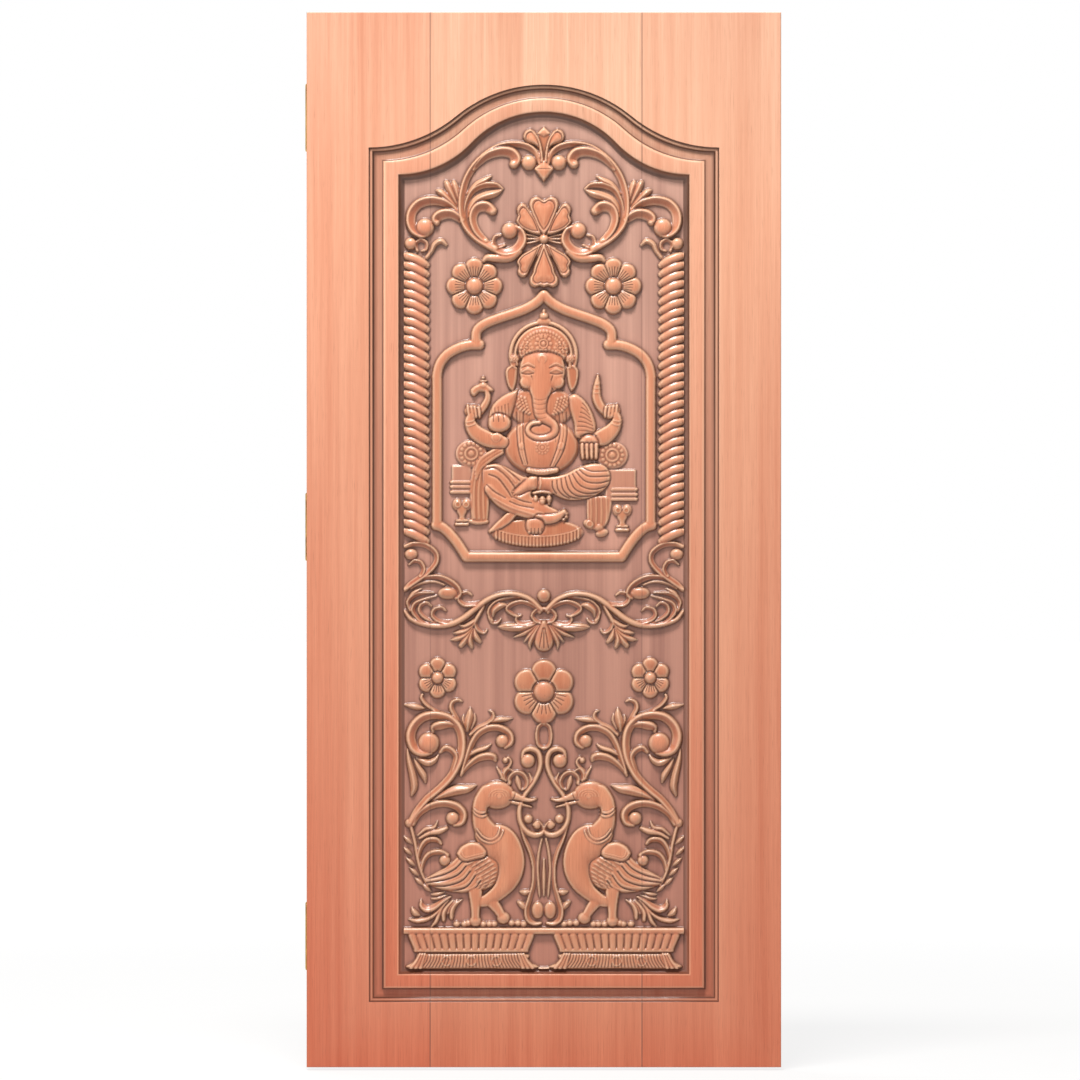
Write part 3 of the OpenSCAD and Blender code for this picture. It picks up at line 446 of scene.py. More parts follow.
# Vine below, left half.
VINE_STEMS = [
    [[-258, 470, 12], [-246, 492, 13], [-226, 516, 14], [-200, 538, 15], [-178, 562, 16], [-163, 592, 17],
     [-158, 622, 17], [-163, 650, 17], [-180, 670, 17], [-206, 678, 17], [-232, 674, 18], [-250, 658, 19],
     [-257, 636, 20], [-250, 614, 19], [-234, 605, 16], [-218, 605, 8]],
    [[-196, 683, 5], [-214, 690, 7], [-228, 700, 8], [-236, 712, 7], [-234, 718, 5]],
    [[-158, 652, 6], [-168, 672, 9], [-178, 690, 10], [-176, 702, 9], [-166, 707, 7], [-158, 704, 4]],
    [[-158, 566, 8], [-148, 596, 11], [-139, 622, 12], [-126, 642, 13], [-106, 653, 14], [-84, 653, 14],
     [-67, 642, 14], [-64, 626, 13], [-74, 616, 8]],
    [[-142, 640, 6], [-128, 654, 8], [-108, 664, 8], [-98, 674, 8], [-100, 684, 6], [-106, 686, 3]],
    [[-168, 656, 6], [-184, 660, 14], [-202, 658, 18], [-213, 654, 12], [-214, 646, 6]],
    [[-184, 556, 6], [-174, 580, 10], [-170, 598, 11], [-178, 610, 12], [-190, 614, 12], [-200, 606, 6]],
    [[-160, 562, 6], [-146, 580, 10], [-128, 594, 14], [-110, 599, 16], [-97, 597, 14], [-93, 590, 6]],
    [[-146, 600, 5], [-130, 609, 9], [-112, 615, 9], [-102, 622, 3]],
    [[-252, 468, 9], [-240, 488, 12], [-218, 503, 14], [-192, 508, 15], [-168, 502, 16], [-156, 488, 16],
     [-159, 472, 14], [-172, 466, 8]],
    [[-240, 440, 5], [-222, 450, 9], [-202, 454, 12], [-188, 460, 8]],
    [[-243, 398, 6], [-238, 420, 9], [-226, 436, 11], [-208, 438, 11], [-198, 430, 6]],
    [[-236, 378, 6], [-231, 398, 9], [-219, 411, 11], [-200, 414, 11], [-186, 408, 9]],
    [[-256, 462, 7], [-248, 430, 7], [-243, 400, 7], [-235, 372, 6], [-224, 350, 5]],
    [[-180, 328, 4], [-196, 319, 9], [-210, 309, 13], [-224, 304, 15], [-235, 310, 11], [-237, 322, 3]],
    [[-190, 316, 4], [-203, 302, 7], [-215, 291, 9], [-230, 284, 10], [-246, 282, 10], [-260, 284, 3]],
    [[-184, 321, 3], [-197, 306, 6], [-203, 292, 8], [-208, 280, 8], [-216, 271, 4]],
    [[-175, 321, 3], [-187, 307, 8], [-193, 295, 10], [-193, 283, 8]],
    [[-158, 322, 3], [-171, 312, 8], [-177, 300, 10], [-178, 287, 8]],
]
VINE_LEAVES = [
    [[-231, 691, 4], [-246, 694, 12], [-258, 696, 9], [-270, 698, 2]],
    [[-148, 648, 6], [-146, 664, 16], [-143, 678, 14], [-142, 693, 2]],
    [[-150, 652, 4], [-156, 668, 6], [-155, 678, 3]],
    [[-140, 652, 4], [-133, 668, 6], [-134, 680, 3]],
    [[-104, 664, 4], [-88, 669, 11], [-72, 670, 8], [-60, 672, 2]],
    [[-246, 596, 3], [-234, 590, 12], [-222, 586, 14], [-210, 592, 10], [-203, 602, 2]],
    [[-263, 612, 4], [-260, 590, 10], [-253, 562, 14], [-250, 540, 14], [-255, 523, 5]],
    [[-250, 594, 4], [-242, 578, 10], [-232, 562, 12], [-228, 548, 4]],
    [[-216, 512, 4], [-196, 524, 14], [-170, 533, 20], [-148, 536, 16], [-129, 543, 2]],
    [[-243, 446, 4], [-228, 458, 8], [-212, 461, 8], [-205, 474, 2]],
    [[-240, 292, 5], [-249, 297, 12], [-254, 306, 4]],
    [[-167, 322, 3], [-180, 309, 6], [-185, 296, 6]],
    [[-192, 337, 3], [-205, 333, 8], [-216, 332, 4]],
    [[-187, 331, 3], [-204, 325, 7], [-216, 324, 4]],
]
VINE_BEADS = [[-222, 624, 21], [-80, 628, 13], [-176, 479, 13], [-191, 398, 11], [-259, 470, 9]]
VINE_BARBS = [[-262, 437], [-263, 416], [-257, 395], [-250, 376], [-240, 357], [-226, 345]]

# Ornament between the birds, left half.
URN_STEMS = [
    [[-42, 596, 6], [-38, 608, 9], [-26, 613, 11], [-13, 608, 11], [-7, 594, 11], [-8, 574, 10],
     [-20, 548, 9], [-38, 522, 9], [-47, 498, 10], [-46, 474, 10], [-36, 456, 11], [-20, 447, 12],
     [-6, 449, 10], [0, 456, 6]],
    [[0, 452, 6], [-4, 464, 7], [-12, 472, 7], [-20, 466, 5]],
    [[-44, 462, 6], [-36, 438, 8], [-25, 412, 9], [-19, 384, 9], [-20, 352, 9], [-27, 325, 10],
     [-33, 302, 11], [-30, 284, 11], [-18, 276, 9], [-6, 277, 6]],
    [[0, 662, 8], [-10, 655, 8], [-13, 638, 8], [-10, 621, 8], [0, 614, 8]],
]
URN_LEAVES = [
    [[-4, 440, 5], [-10, 410, 6], [-12, 380, 6], [-10, 350, 6], [-8, 328, 4]],
    [[-26, 338, 5], [-36, 336, 12], [-46, 338, 4]],
    [[-32, 300, 5], [-42, 312, 12], [-50, 318, 5]],
]
URN_BEADS = [[-31, 590, 14], [-30, 478, 9], [-13, 466, 8]]

# Niche frame, left half of its centre line, in stretches between its corners.
NICHE = [
    [[0, 1488], [-14, 1474], [-34, 1462], [-60, 1452], [-90, 1442], [-114, 1432],
     [-128, 1420], [-131, 1406], [-129, 1393]],
    [[-124, 1392], [-146, 1391], [-166, 1385], [-186, 1373], [-200, 1355],
     [-206, 1332], [-206, 1300], [-206, 1046]],
    [[-208, 1044], [-196, 1040], [-182, 1028], [-168, 1011], [-158, 996], [-150, 983]],
    [[-150, 983], [4, 983]],
]


def carve_crest():
    """Scrolls and leaves under the arch, with the bud at the top."""
    scrolls(CREST_STEMS, CREST_LEAVES, CREST_BEADS)
    pad([[-8, 1748], [-9, 1775], [-13, 1796], [0, 1801], [13, 1796], [9, 1775], [8, 1748]], 6, 6)
    rimmed([[-6, 1748], [-9, 1768], [-18, 1777], [-32, 1782], [-40, 1791], [-37, 1803], [-28, 1808],
            [-18, 1804], [-11, 1792], [-6, 1774]], 9.5)
    stem([[-4, 1746, 7], [-7, 1772, 7], [-14, 1792, 7], [-26, 1806, 5]], 11.5)
    slab([[-15, 1799], [0, 1791], [15, 1799], [0, 1813]], 9, 10)
    slab([[-20, 1731], [0, 1705], [20, 1731], [0, 1748]], 12.5, 16)
    groove([[-20, 1731, 2], [20, 1731, 2]], 1.2)


def carve_rosette():
    """Flower of rimmed petals over the niche's point."""
    rimmed([[-4, 1603], [-18, 1605], [-34, 1611], [-46, 1619], [-54, 1630], [-50, 1641], [-53, 1653],
            [-45, 1665], [-36, 1663], [-28, 1652], [-16, 1633], [-8, 1615]], 10)
    rimmed([[-4, 1589], [-16, 1581], [-30, 1573], [-43, 1565], [-53, 1552], [-49, 1542], [-51, 1530],
            [-42, 1521], [-33, 1525], [-26, 1540], [-15, 1562], [-8, 1578]], 10)
    top = [[0, 1600], [-10, 1614], [-17, 1630], [-25, 1648], [-29, 1662], [-24, 1674], [-13, 1678],
           [0, 1671]]
    low = [[0, 1592], [-6, 1576], [-12, 1560], [-19, 1543], [-22, 1530], [-28, 1519], [-27, 1508],
           [-18, 1502], [-8, 1505], [0, 1502]]
    for half in (top, low):
        rimmed(half + [[-x, z] for x, z in half[-2:0:-1]], 11)
    for z in (1602, 1596, 1590):
        stem([[-8, 1596 + (z - 1596) * 0.4, 3.4], [-20, z, 4], [-33, 1596 + (z - 1596) * 1.4, 4.5]], 7)
    for p in ([[-4, 1586, 3], [-13, 1580, 6], [-22, 1578, 2]],
              [[-3, 1584, 3], [-9, 1572, 6], [-13, 1562, 2]]):
        leaf(p, 9)
    dome(0, 1596, 10, 10, 13.4)


def carve_rope():
    """Twisted column beside the niche, strand by strand from the top."""
    x, s, pitch = -246.0, 22.0, 17.73
    for i in range(31):
        z = 1556 - pitch * i
        path = [[x - s * 0.96, z + 8, 13], [x - s * 0.6, z + 6, 16.5], [x, z + 1, 17.7],
                [x + s * 0.5, z - 5.5, 17.2], [x + s * 0.92, z - 11, 12]]
        part, u, width, place, *_ = along(path)
        across = np.sqrt(np.clip(1 - (2 * place - 1) ** 2 * 0.8, 0, 1))
        h = (3.5 + 8.5 * across) * (0.35 + 0.65 * swell(u))
        lay(part, np.where(u < 1, h, 0))


def carve_niche():
    """Rounded frame of the niche."""
    for p in NICHE:
        part, u, *_ = along([[x, z, NICHE_W] for x, z in p])
        h = 4 + 7 * swell(u * 0.95)
        lay(part, np.where(u < 1, h * edge(u, 0.1), 0))


def carve_swag():
    """Scrolls across the middle, with the drop between them."""
    scrolls(SWAG_STEMS, SWAG_LEAVES)
    dome(-256, 988, 13, 11, 9.5)
    dome(-185, 913, 20, 12, 10)
    dome(0, 908, 13, 13, 11)
    groove([[-84, 848, 2.4], [-60, 849, 3], [-34, 849, 2.4]], 2.4)
    petal(0, 862, -90, 2, 62, 38, 11)
    for k in (-1, 0, 1):
        groove([[k * 2, 846, 2.4], [k * 9, 808, 2.4]], 2.0)


def carve_vine():
    """Vine beside the bird, with barbs on its lower stem."""
    scrolls(VINE_STEMS, VINE_LEAVES, VINE_BEADS, 0.3)
    for x, z in VINE_BARBS:
        leaf([[x - 9, z + 8, 2], [x, z, 9], [x + 9, z - 8, 2]])


def carve_urn():
    """Ornament between the birds."""
    scrolls(URN_STEMS, URN_LEAVES, URN_BEADS)
    dome(-12, 302, 12, 17, 9)
    leaf([[0, 400, 4], [0, 360, 8], [0, 330, 4]])


def carve_bird():
    """Left one of the two birds."""
    # Tail and wing.
    pad([[-162, 412], [-128, 410], [-100, 404], [-88, 392], [-88, 370], [-97, 350], [-118, 341],
         [-150, 335], [-188, 339], [-222, 350], [-231, 360], [-214, 372], [-192, 384], [-174, 398]],
        9.5, 16)
    for p in ([[-158, 400, 7], [-172, 386, 7], [-194, 375, 6], [-224, 367, 4]],
              [[-150, 392, 7], [-166, 375, 7], [-192, 365, 6], [-226, 360, 4]],
              [[-142, 382, 7], [-158, 364, 7], [-188, 354, 6], [-222, 354, 4]],
              [[-132, 374, 6], [-148, 353, 6], [-174, 345, 5], [-206, 346, 4]],
              [[-122, 364, 6], [-134, 348, 6], [-154, 340, 5], [-182, 340, 4]]):
        groove([[x, z - 5, 3] for x, z, w in p], 3.0)
        bump(p, 1.3)
    rim = curve([[-114, 404, 1], [-98, 395, 1], [-91, 378, 1], [-94, 358, 1], [-108, 344, 1],
                 [-134, 334, 1]], 1.0)
    for row in range(3):
        for i in range(6 + 4 * (row % 2), len(rim) - 16 - 8 * row, 8):
            x = rim[i, 0] - 5 - 13 * row
            z = rim[i, 1] - 1 - 3 * row
            bump([[x + 4, z + 1, 2.6], [x - 1, z - 1, 4.4], [x - 7, z - 5, 2]], 1.6)
    # Body, neck and head.
    pad([[-104, 466], [-82, 467], [-60, 455], [-45, 432], [-37, 402], [-40, 372], [-54, 346], [-76, 326],
         [-100, 312], [-122, 308], [-130, 320], [-112, 334], [-96, 350], [-88, 372], [-90, 394],
         [-110, 408], [-128, 432], [-132, 452]], 13.0, 34, 0, 0.35)
    limb([[-104, 446, 46], [-118, 466, 38], [-124, 488, 29], [-120, 510, 33], [-106, 524, 44]], 12.3)
    dome(-90, 524, 34, 28, 13.2)
    limb([[-60, 524, 17], [-44, 518, 11], [-28, 514, 8], [-15, 516, 4]], 10, 2)
    limb([[-60, 511, 9], [-46, 507, 7], [-24, 501, 4]], 7.5, 2)
    groove([[-66, 514, 3], [-48, 512, 2.6], [-30, 508, 2.2]], 2.8)
    groove([[-58, 541, 2.2], [-55, 528, 2.8], [-60, 514, 2.2]], 1.8)
    for r in (7, 12, 17):
        bump([[-86 + r * math.cos(a) * 1.15, 523 + r * math.sin(a) * 0.75, 2.6]
              for a in np.linspace(-0.1, math.pi + 0.1, 7)], 0.8)
    stud(-86, 522, 5, 1.0)
    for z in (484, 491):
        bump([[-138, z + 10, 3.6], [-129, z + 2, 5], [-118, z - 1, 5], [-107, z + 3, 3.6]], 2.8)
    for o in (0, 7):
        bump([[-132 + o * 0.4, 452 + o, 4], [-120 + o * 0.3, 438 + o, 4.4], [-102, 432 + o, 4.4],
              [-86 - o * 0.5, 440 + o, 4], [-78 - o, 456 + o * 0.6, 3]], 2.6)
    saddle = [[-168, 411], [-160, 424], [-142, 433], [-124, 430], [-111, 416], [-114, 405], [-132, 400],
              [-150, 396], [-162, 401]]
    pad(saddle, 13.0, 7, 0, 0.7, True)
    for o in (2, 7):
        bump([[-165 + o, 408 + o, 3], [-152, 398 + o, 3.4], [-132, 402 + o, 3.4], [-115, 406 + o, 3]], 1.0)
    # Legs, toes and the curls over the head.
    limb([[-132, 336, 28], [-132, 308, 19], [-132, 285, 17]], 10, 3)
    limb([[-100, 318, 24], [-88, 302, 19], [-79, 287, 16]], 9.5, 3)
    dome(-132, 281, 12, 11, 11)
    dome(-78, 287, 13, 12, 11)
    for x in (-168, -153, -146, -117, -105, -96, -62, -50, -39):
        dome(x, 275 + 2 * (x % 3), 7, 6, 7.5)
    for p in ([[-78, 554, 6], [-84, 566, 7], [-91, 578, 3]],
              [[-82, 556, 5], [-77, 571, 7], [-67, 580, 7], [-64, 589, 6], [-69, 596, 6]],
              [[-74, 552, 6], [-75, 564, 7], [-68, 573, 6], [-60, 570, 4]],
              [[-66, 546, 7], [-65, 558, 8], [-53, 567, 9], [-40, 563, 9], [-33, 551, 8], [-35, 540, 7],
               [-43, 533, 4]],
              [[-30, 544, 4], [-25, 554, 7], [-29, 566, 3]]):
        stem(p)
    dome(-74, 591, 6, 6, 9)
    leaf([[-46, 536, 6], [-50, 550, 11], [-52, 560, 5]], 6.5)


def carve_pedestal():
    """Fluted pedestal under the bird."""
    limb([[-268, 262, 13], [2, 262, 13]], 9.5, 4, 0.4)
    for i in range(16):
        u = i - 7.5
        limb([[-140 + u * 14.0, 229, 13.2], [-140 + u * 15.2, 253, 15.6]], 9.5, 3, 0.3)
    limb([[-247, 224.5, 8], [-33, 224.5, 8]], 9, 3, 0.35)
    pad([[-244, 219], [-140, 219], [-36, 219], [-30, 204], [-14, 190], [-140, 189], [-262, 190],
         [-250, 204]], 8.5, 8, 0, 0.5)
    for i in range(36):
        u = i - 17.5
        groove([[-140 + u * 5.7, 217, 2.2], [-140 + u * 5.9, 205, 2.4], [-140 + u * 6.6, 191, 2.4]], 1.8)
    for s in (-1, 1):
        for k in range(3):
            limb([[-139 + s * (100 - 5 * k), 218, 5], [-139 + s * (107 - 6 * k), 204, 7],
                  [-139 + s * (117 - 9 * k), 191, 9]], 10, 3)
    for x in (-188, -140, -92):
        ring(x, 204, 9, 3.4, 1.6)
    slab([[-14, 184], [14, 184], [10, 193], [-10, 193]], 6, 3)


def carve_throne():
    """Seat, bolsters, urns and drapes on both sides of the figure."""
    for x, z in ((-140, 1182), (132, 1179)):
        dome(x, z, 31, 27, 5.0, 0, 0, 0.7)
        disc(x, z, 24, 14, 1.8)
    slab([[-178, 1104], [-140, 1104], [-140, 1160], [-178, 1160]], 3.5, 3)
    slab([[118, 1090], [178, 1090], [178, 1152], [118, 1152]], 3.5, 3)
    for z in (1108, 1118, 1127):
        limb([[-178, z, 7], [-142, z, 7]], 5.5, 3)
    for z in (1094, 1103, 1113):
        limb([[132, z, 7], [178, z, 7]], 5.5, 3)
    for x, z in ((-158, 1084), (151, 1073)):
        for s in (-1, 1):
            dome(x + s * 9, z, 10, 12, 6.5)
            ring(x + s * 8, z, 5, 3, 1.4)
        limb([[x, z - 10, 22], [x, z - 22, 11], [x, z - 29, 13]], 6)
        limb([[x - 9, z - 31, 6], [x + 9, z - 31, 6]], 7)
        limb([[x - 11, z - 38, 6.5], [x + 11, z - 38, 6.5]], 7.5)
    pad([[-140, 1054], [-112, 1050], [-106, 1070], [-106, 1104], [-116, 1132], [-120, 1172], [-136, 1160],
         [-143, 1120], [-142, 1080]], 6, 5)
    for x in (-134, -125, -116):
        bump([[x + 4, 1150, 3], [x - 1, 1110, 5], [x, 1058, 6]], 1.2)
    limb([[-142, 1052, 8], [-128, 1049, 9], [-110, 1051, 8]], 7)
    pad([[82, 1100], [128, 1098], [127, 1060], [118, 1042], [100, 1034], [84, 1050]], 5, 4)
    for x in (90, 100, 110, 120):
        bump([[x, 1096, 4], [x + 1, 1070, 5], [x, 1044, 4]], 1.1)
    dome(88, 1046, 13, 9, 7.5, 0, -25)
    ring(88, 1046, 6, 3, 1.2)
    dome(106, 1040, 10, 9, 8)
    dome(112, 1029, 13, 8, 7.5, 0, 15)


def carve_cushion():
    """Round cushion with a pleated brim."""
    dome(-13, 1030, 90, 28, 7.0, 0, 0, 0.75)

    def brim(x, up):
        return 1030 - 27.5 * math.sqrt(max(0.0, 1 - ((x + 13) / 89) ** 2)) + up

    for i in range(25):
        x = -92 + 6.6 * i
        limb([[x, brim(x, 2), 5.6], [x, brim(x, 17), 5.6]], 8.0, 4)
    bump([[x, brim(x, 20), 3] for x in range(-98, 74, 8)], 1.3)
    for k in range(5):
        limb([[-50 - 5 * k, 1070 - k, 5], [-66 - 4.5 * k, 1052, 6], [-84 - 5 * k, 1040 - 2 * k, 6.5]],
             9.5, 4)


def carve_legs():
    """Crossed legs, the feet and the belt's pendant."""
    # Left leg with its knee at the left, then the foot that hangs in front of the cushion.
    pad([[-119, 1150], [-112, 1159], [-94, 1163], [-76, 1158], [-58, 1148], [-38, 1138], [-22, 1136],
         [-20, 1118], [-24, 1100], [-8, 1090], [12, 1080], [28, 1071], [24, 1057], [0, 1055], [-20, 1058],
         [-42, 1065], [-62, 1074], [-82, 1082], [-100, 1091], [-112, 1105], [-118, 1126]], 11.6, 28)
    limb([[-102, 1114, 26], [-80, 1092, 30], [-44, 1074, 27], [-6, 1062, 21]], 12.8, 4)
    limb([[-10, 1057, 18], [10, 1056, 19], [26, 1060, 16], [39, 1070, 10]], 12.8, 4, 0.45, True)
    for line in ([[-114, 1152, 4], [-94, 1154, 4.5], [-74, 1140, 4.5], [-58, 1120, 4], [-54, 1110, 3]],
                 [[-106, 1142, 3], [-88, 1134, 4], [-72, 1114, 4], [-62, 1098, 3]],
                 [[-80, 1158, 3], [-60, 1142, 4], [-46, 1130, 3]],
                 [[-110, 1122, 3], [-94, 1108, 3.5], [-74, 1097, 3]],
                 [[-60, 1099, 2.6], [-42, 1091, 3], [-24, 1087, 2.4]],
                 [[-66, 1090, 2.6], [-46, 1082, 3], [-20, 1077, 2.4]]):
        groove(line, 2.2)
    for line in ([[-110, 1157, 5], [-90, 1159, 6], [-70, 1147, 6], [-54, 1128, 4]],
                 [[-96, 1096, 4], [-66, 1080, 5], [-30, 1068, 5], [-4, 1060, 4]]):
        bump(line, 1.1)
    pad([[-33, 1056], [-18, 1059], [-3, 1055], [1, 1042], [-4, 1030], [-19, 1027], [-32, 1033],
         [-35, 1045]], 11, 10, 0, 0.45, True)
    for x in (-28, -21, -14, -7):
        dome(x, 1031, 4.2, 5, 10.5)
        groove([[x + 3.5, 1028, 2], [x + 3.5, 1038, 1.6]], 1.6)
    for x, z in ((38, 1071), (43, 1066), (43, 1060), (38, 1055)):
        dome(x, z, 4.5, 4, 11.5)
    # Pendant of the belt, then the right leg lying across with its foot on the left thigh.
    limb([[-20, 1106, 6], [-3, 1109, 7], [14, 1106, 6]], 10.5, 3)
    for x, z, r in ((-16, 1095, 6), (-3, 1091, 7), (10, 1095, 6)):
        dome(x, z, r, r * 1.5, 11)
        groove([[x - r, z + 3, 2], [x + r, z + 3, 2]], 1.4)
        dome(x, z - r * 1.6, 3, 3, 9)
    pad([[-14, 1138], [18, 1138], [42, 1143], [62, 1153], [84, 1161], [104, 1163], [120, 1156], [128, 1140],
         [124, 1122], [110, 1108], [90, 1098], [68, 1093], [46, 1093], [26, 1100], [8, 1111], [-14, 1114]],
        12.9, 24, 0, 0.35, True)
    for line in ([[72, 1157], [92, 1148], [124, 1149]], [[68, 1151], [88, 1138], [127, 1139]],
                 [[62, 1147], [80, 1129], [104, 1125], [127, 1130]],
                 [[55, 1143], [70, 1121], [95, 1113], [122, 1119]],
                 [[48, 1140], [59, 1115], [82, 1105], [112, 1109]],
                 [[41, 1137], [48, 1113], [66, 1100], [95, 1101]],
                 [[33, 1134], [37, 1113], [51, 1099], [72, 1095]],
                 [[25, 1131], [27, 1114], [37, 1102], [50, 1096]],
                 [[16, 1129], [17, 1116], [24, 1105]]):
        groove([[x, z, 3.0] for x, z in line], 2.2)
    pad([[-12, 1139], [-26, 1139], [-38, 1130], [-52, 1118], [-61, 1107], [-55, 1100], [-42, 1103],
         [-30, 1110], [-14, 1115]], 12.6, 12, 0, 0.4, True)
    for x, z in ((-60, 1109), (-58, 1104), (-54, 1100), (-49, 1099)):
        dome(x, z, 4, 3.6, 11.5)
    for x in (-13, -7):
        bump([[x - 1, 1137, 3.4], [x + 1, 1126, 3.8], [x - 1, 1115, 3.4]], 1.4)


def carve_body():
    """Chest, belly, straps and strings of beads."""
    dome(-5, 1272, 66, 42, 9.5)
    dome(-5, 1196, 73, 55, 12.8, 0, 0, 0.25)
    limb([[-30, 1150, 10], [-4, 1146, 12], [24, 1150, 10]], 12.0, 4, 0.5, True)
    string([[-30, 1151], [-4, 1147], [24, 1151]], 2.8, 5.8, 1.1)
    for p in ([[-46, 1262, 11], [-46, 1224, 10], [-43, 1190, 10], [-36, 1162, 8]],
              [[36, 1262, 12], [38, 1224, 11], [33, 1195, 12], [26, 1176, 11], [17, 1158, 8]]):
        bump(p, 1.5)
        for s in (-1, 1):
            groove([[x + s * w * 0.62, z, 2.6] for x, z, w in p], 1.6)
        groove([[x, z, 2] for x, z, w in p], 1.0)
    stud(33, 1197, 8, 1.8)
    stud(-43, 1197, 7, 1.6)
    disc(-3, 1194, 14, 12, 1.0)
    for p in ([[-28, 1250, 3], [-26, 1226, 3], [-20, 1206, 2]],
              [[22, 1252, 3], [24, 1230, 3], [22, 1204, 2]]):
        groove(p, 0.9)
    for k in range(5):
        for s, z in ((-1, 1300 - 2 * k), (1, 1298 - 2 * k)):
            string([[-5 + s * (61 - 7 * k), z], [-5 + s * (53 - 7 * k), z - 18 - 2 * k],
                    [-5 + s * (39 - 5 * k), z - 36]], 3.0, 6.0, 1.7)


def carve_arms():
    """Four arms with their sleeves and hands."""
    # Scarf from the left arm, and both back arms with their hands and what they hold.
    for k in range(3):
        limb([[-80, 1196 - 6 * k, 7], [-100, 1186 - 7 * k, 8], [-122, 1170 - 8 * k, 8],
              [-131, 1150 - 8 * k, 7]], 8, 3)
    limb([[-80, 1204, 24], [-108, 1210, 30], [-132, 1224, 28], [-142, 1242, 21], [-139, 1256, 16]],
         11.2, 4, 0.45, True)
    limb([[-127, 1258, 13], [-115, 1274, 14], [-108, 1290, 12], [-111, 1304, 9]], 9, 3)
    pad([[-142, 1306], [-132, 1314], [-116, 1318], [-104, 1312], [-96, 1303], [-112, 1300], [-124, 1301],
         [-133, 1292], [-141, 1296]], 8.5, 6)
    dome(-117, 1313, 9, 8, 10)
    limb([[-122, 1322, 4], [-111, 1322, 4]], 7.5)
    dome(-117, 1328, 4, 4, 8)
    dome(-136, 1264, 18, 13, 10.5)
    limb([[96, 1210, 22], [114, 1214, 32], [132, 1228, 27], [141, 1246, 19], [138, 1258, 15]],
         11.2, 4, 0.45, True)
    limb([[126, 1256, 15], [110, 1272, 18], [102, 1290, 18], [102, 1308, 15], [103, 1320, 11],
          [104, 1333, 4]], 10.5, 3)
    for z in (1299, 1308, 1316):
        bump([[93, z, 3], [111, z, 3]], 1.2)
    dome(130, 1265, 18, 13, 10.5)
    for s, z in ((-1, 1252), (1, 1253)):
        for k in range(4):
            limb([[-3 + s * (144 - 7 * k), z + 22 - k, 6], [-3 + s * (142 - 7 * k), z + 8, 6.5],
                  [-3 + s * (139 - 6 * k), z, 5]], 11.4, 5, 0.5, k == 3)
    for p in ([[-153, 1236], [-142, 1236], [-128, 1242]], [[-152, 1243], [-141, 1244], [-128, 1249]],
              [[152, 1238], [140, 1237], [126, 1243]], [[152, 1245], [140, 1245], [128, 1250]]):
        bump([[x, z, 3.4] for x, z in p], 1.3)
    # Sleeves and front hands.
    pad([[-50, 1306], [-76, 1295], [-98, 1276], [-106, 1252], [-98, 1236], [-74, 1236], [-62, 1258],
         [-54, 1284]], 11.8, 16, 0, 0.45, True)
    for k in range(6):
        groove([[-101 + 6.5 * k, 1268 + 2 * k, 2.4], [-99 + 6.5 * k, 1252, 2.6], [-95 + 6 * k, 1240, 2.2]],
               1.2)
    pad([[-107, 1250], [-92, 1260], [-72, 1256], [-63, 1242], [-70, 1228], [-90, 1223], [-106, 1232]],
        13, 9, 0, 0.5, True)
    for k in range(3):
        groove([[-98 + 10 * k, 1258, 2.4], [-97 + 10 * k, 1244, 2]], 1.8)
    dome(-92, 1213, 15, 10, 12.8, 4, 0, 0.4)
    ring(-92, 1213, 8, 2.6, 0.8)
    pad([[48, 1292], [61, 1297], [80, 1282], [95, 1256], [100, 1228], [86, 1214], [62, 1214], [58, 1240],
         [50, 1268]], 12, 18, 0, 0.45, True)
    for k in range(7):
        groove([[62 + 2 * k, 1226 + 9 * k, 2.2], [80, 1226 + 8 * k, 2.6],
                [98 - 2 * k, 1222 + 7 * k, 2.2]], 1.4)
    pad([[68, 1206], [76, 1216], [88, 1219], [100, 1215], [106, 1204], [100, 1197], [76, 1197]],
        13, 10, 0, 0.4, True)
    groove([[70, 1215, 2.4], [86, 1221, 3], [102, 1216, 2.4]], 2.0)
    for k in range(4):
        limb([[74 + 9 * k, 1199, 8.6], [74 + 9 * k, 1188, 8.4], [75 + 8.6 * k, 1174, 7]], 13, 5, 0.45, True)


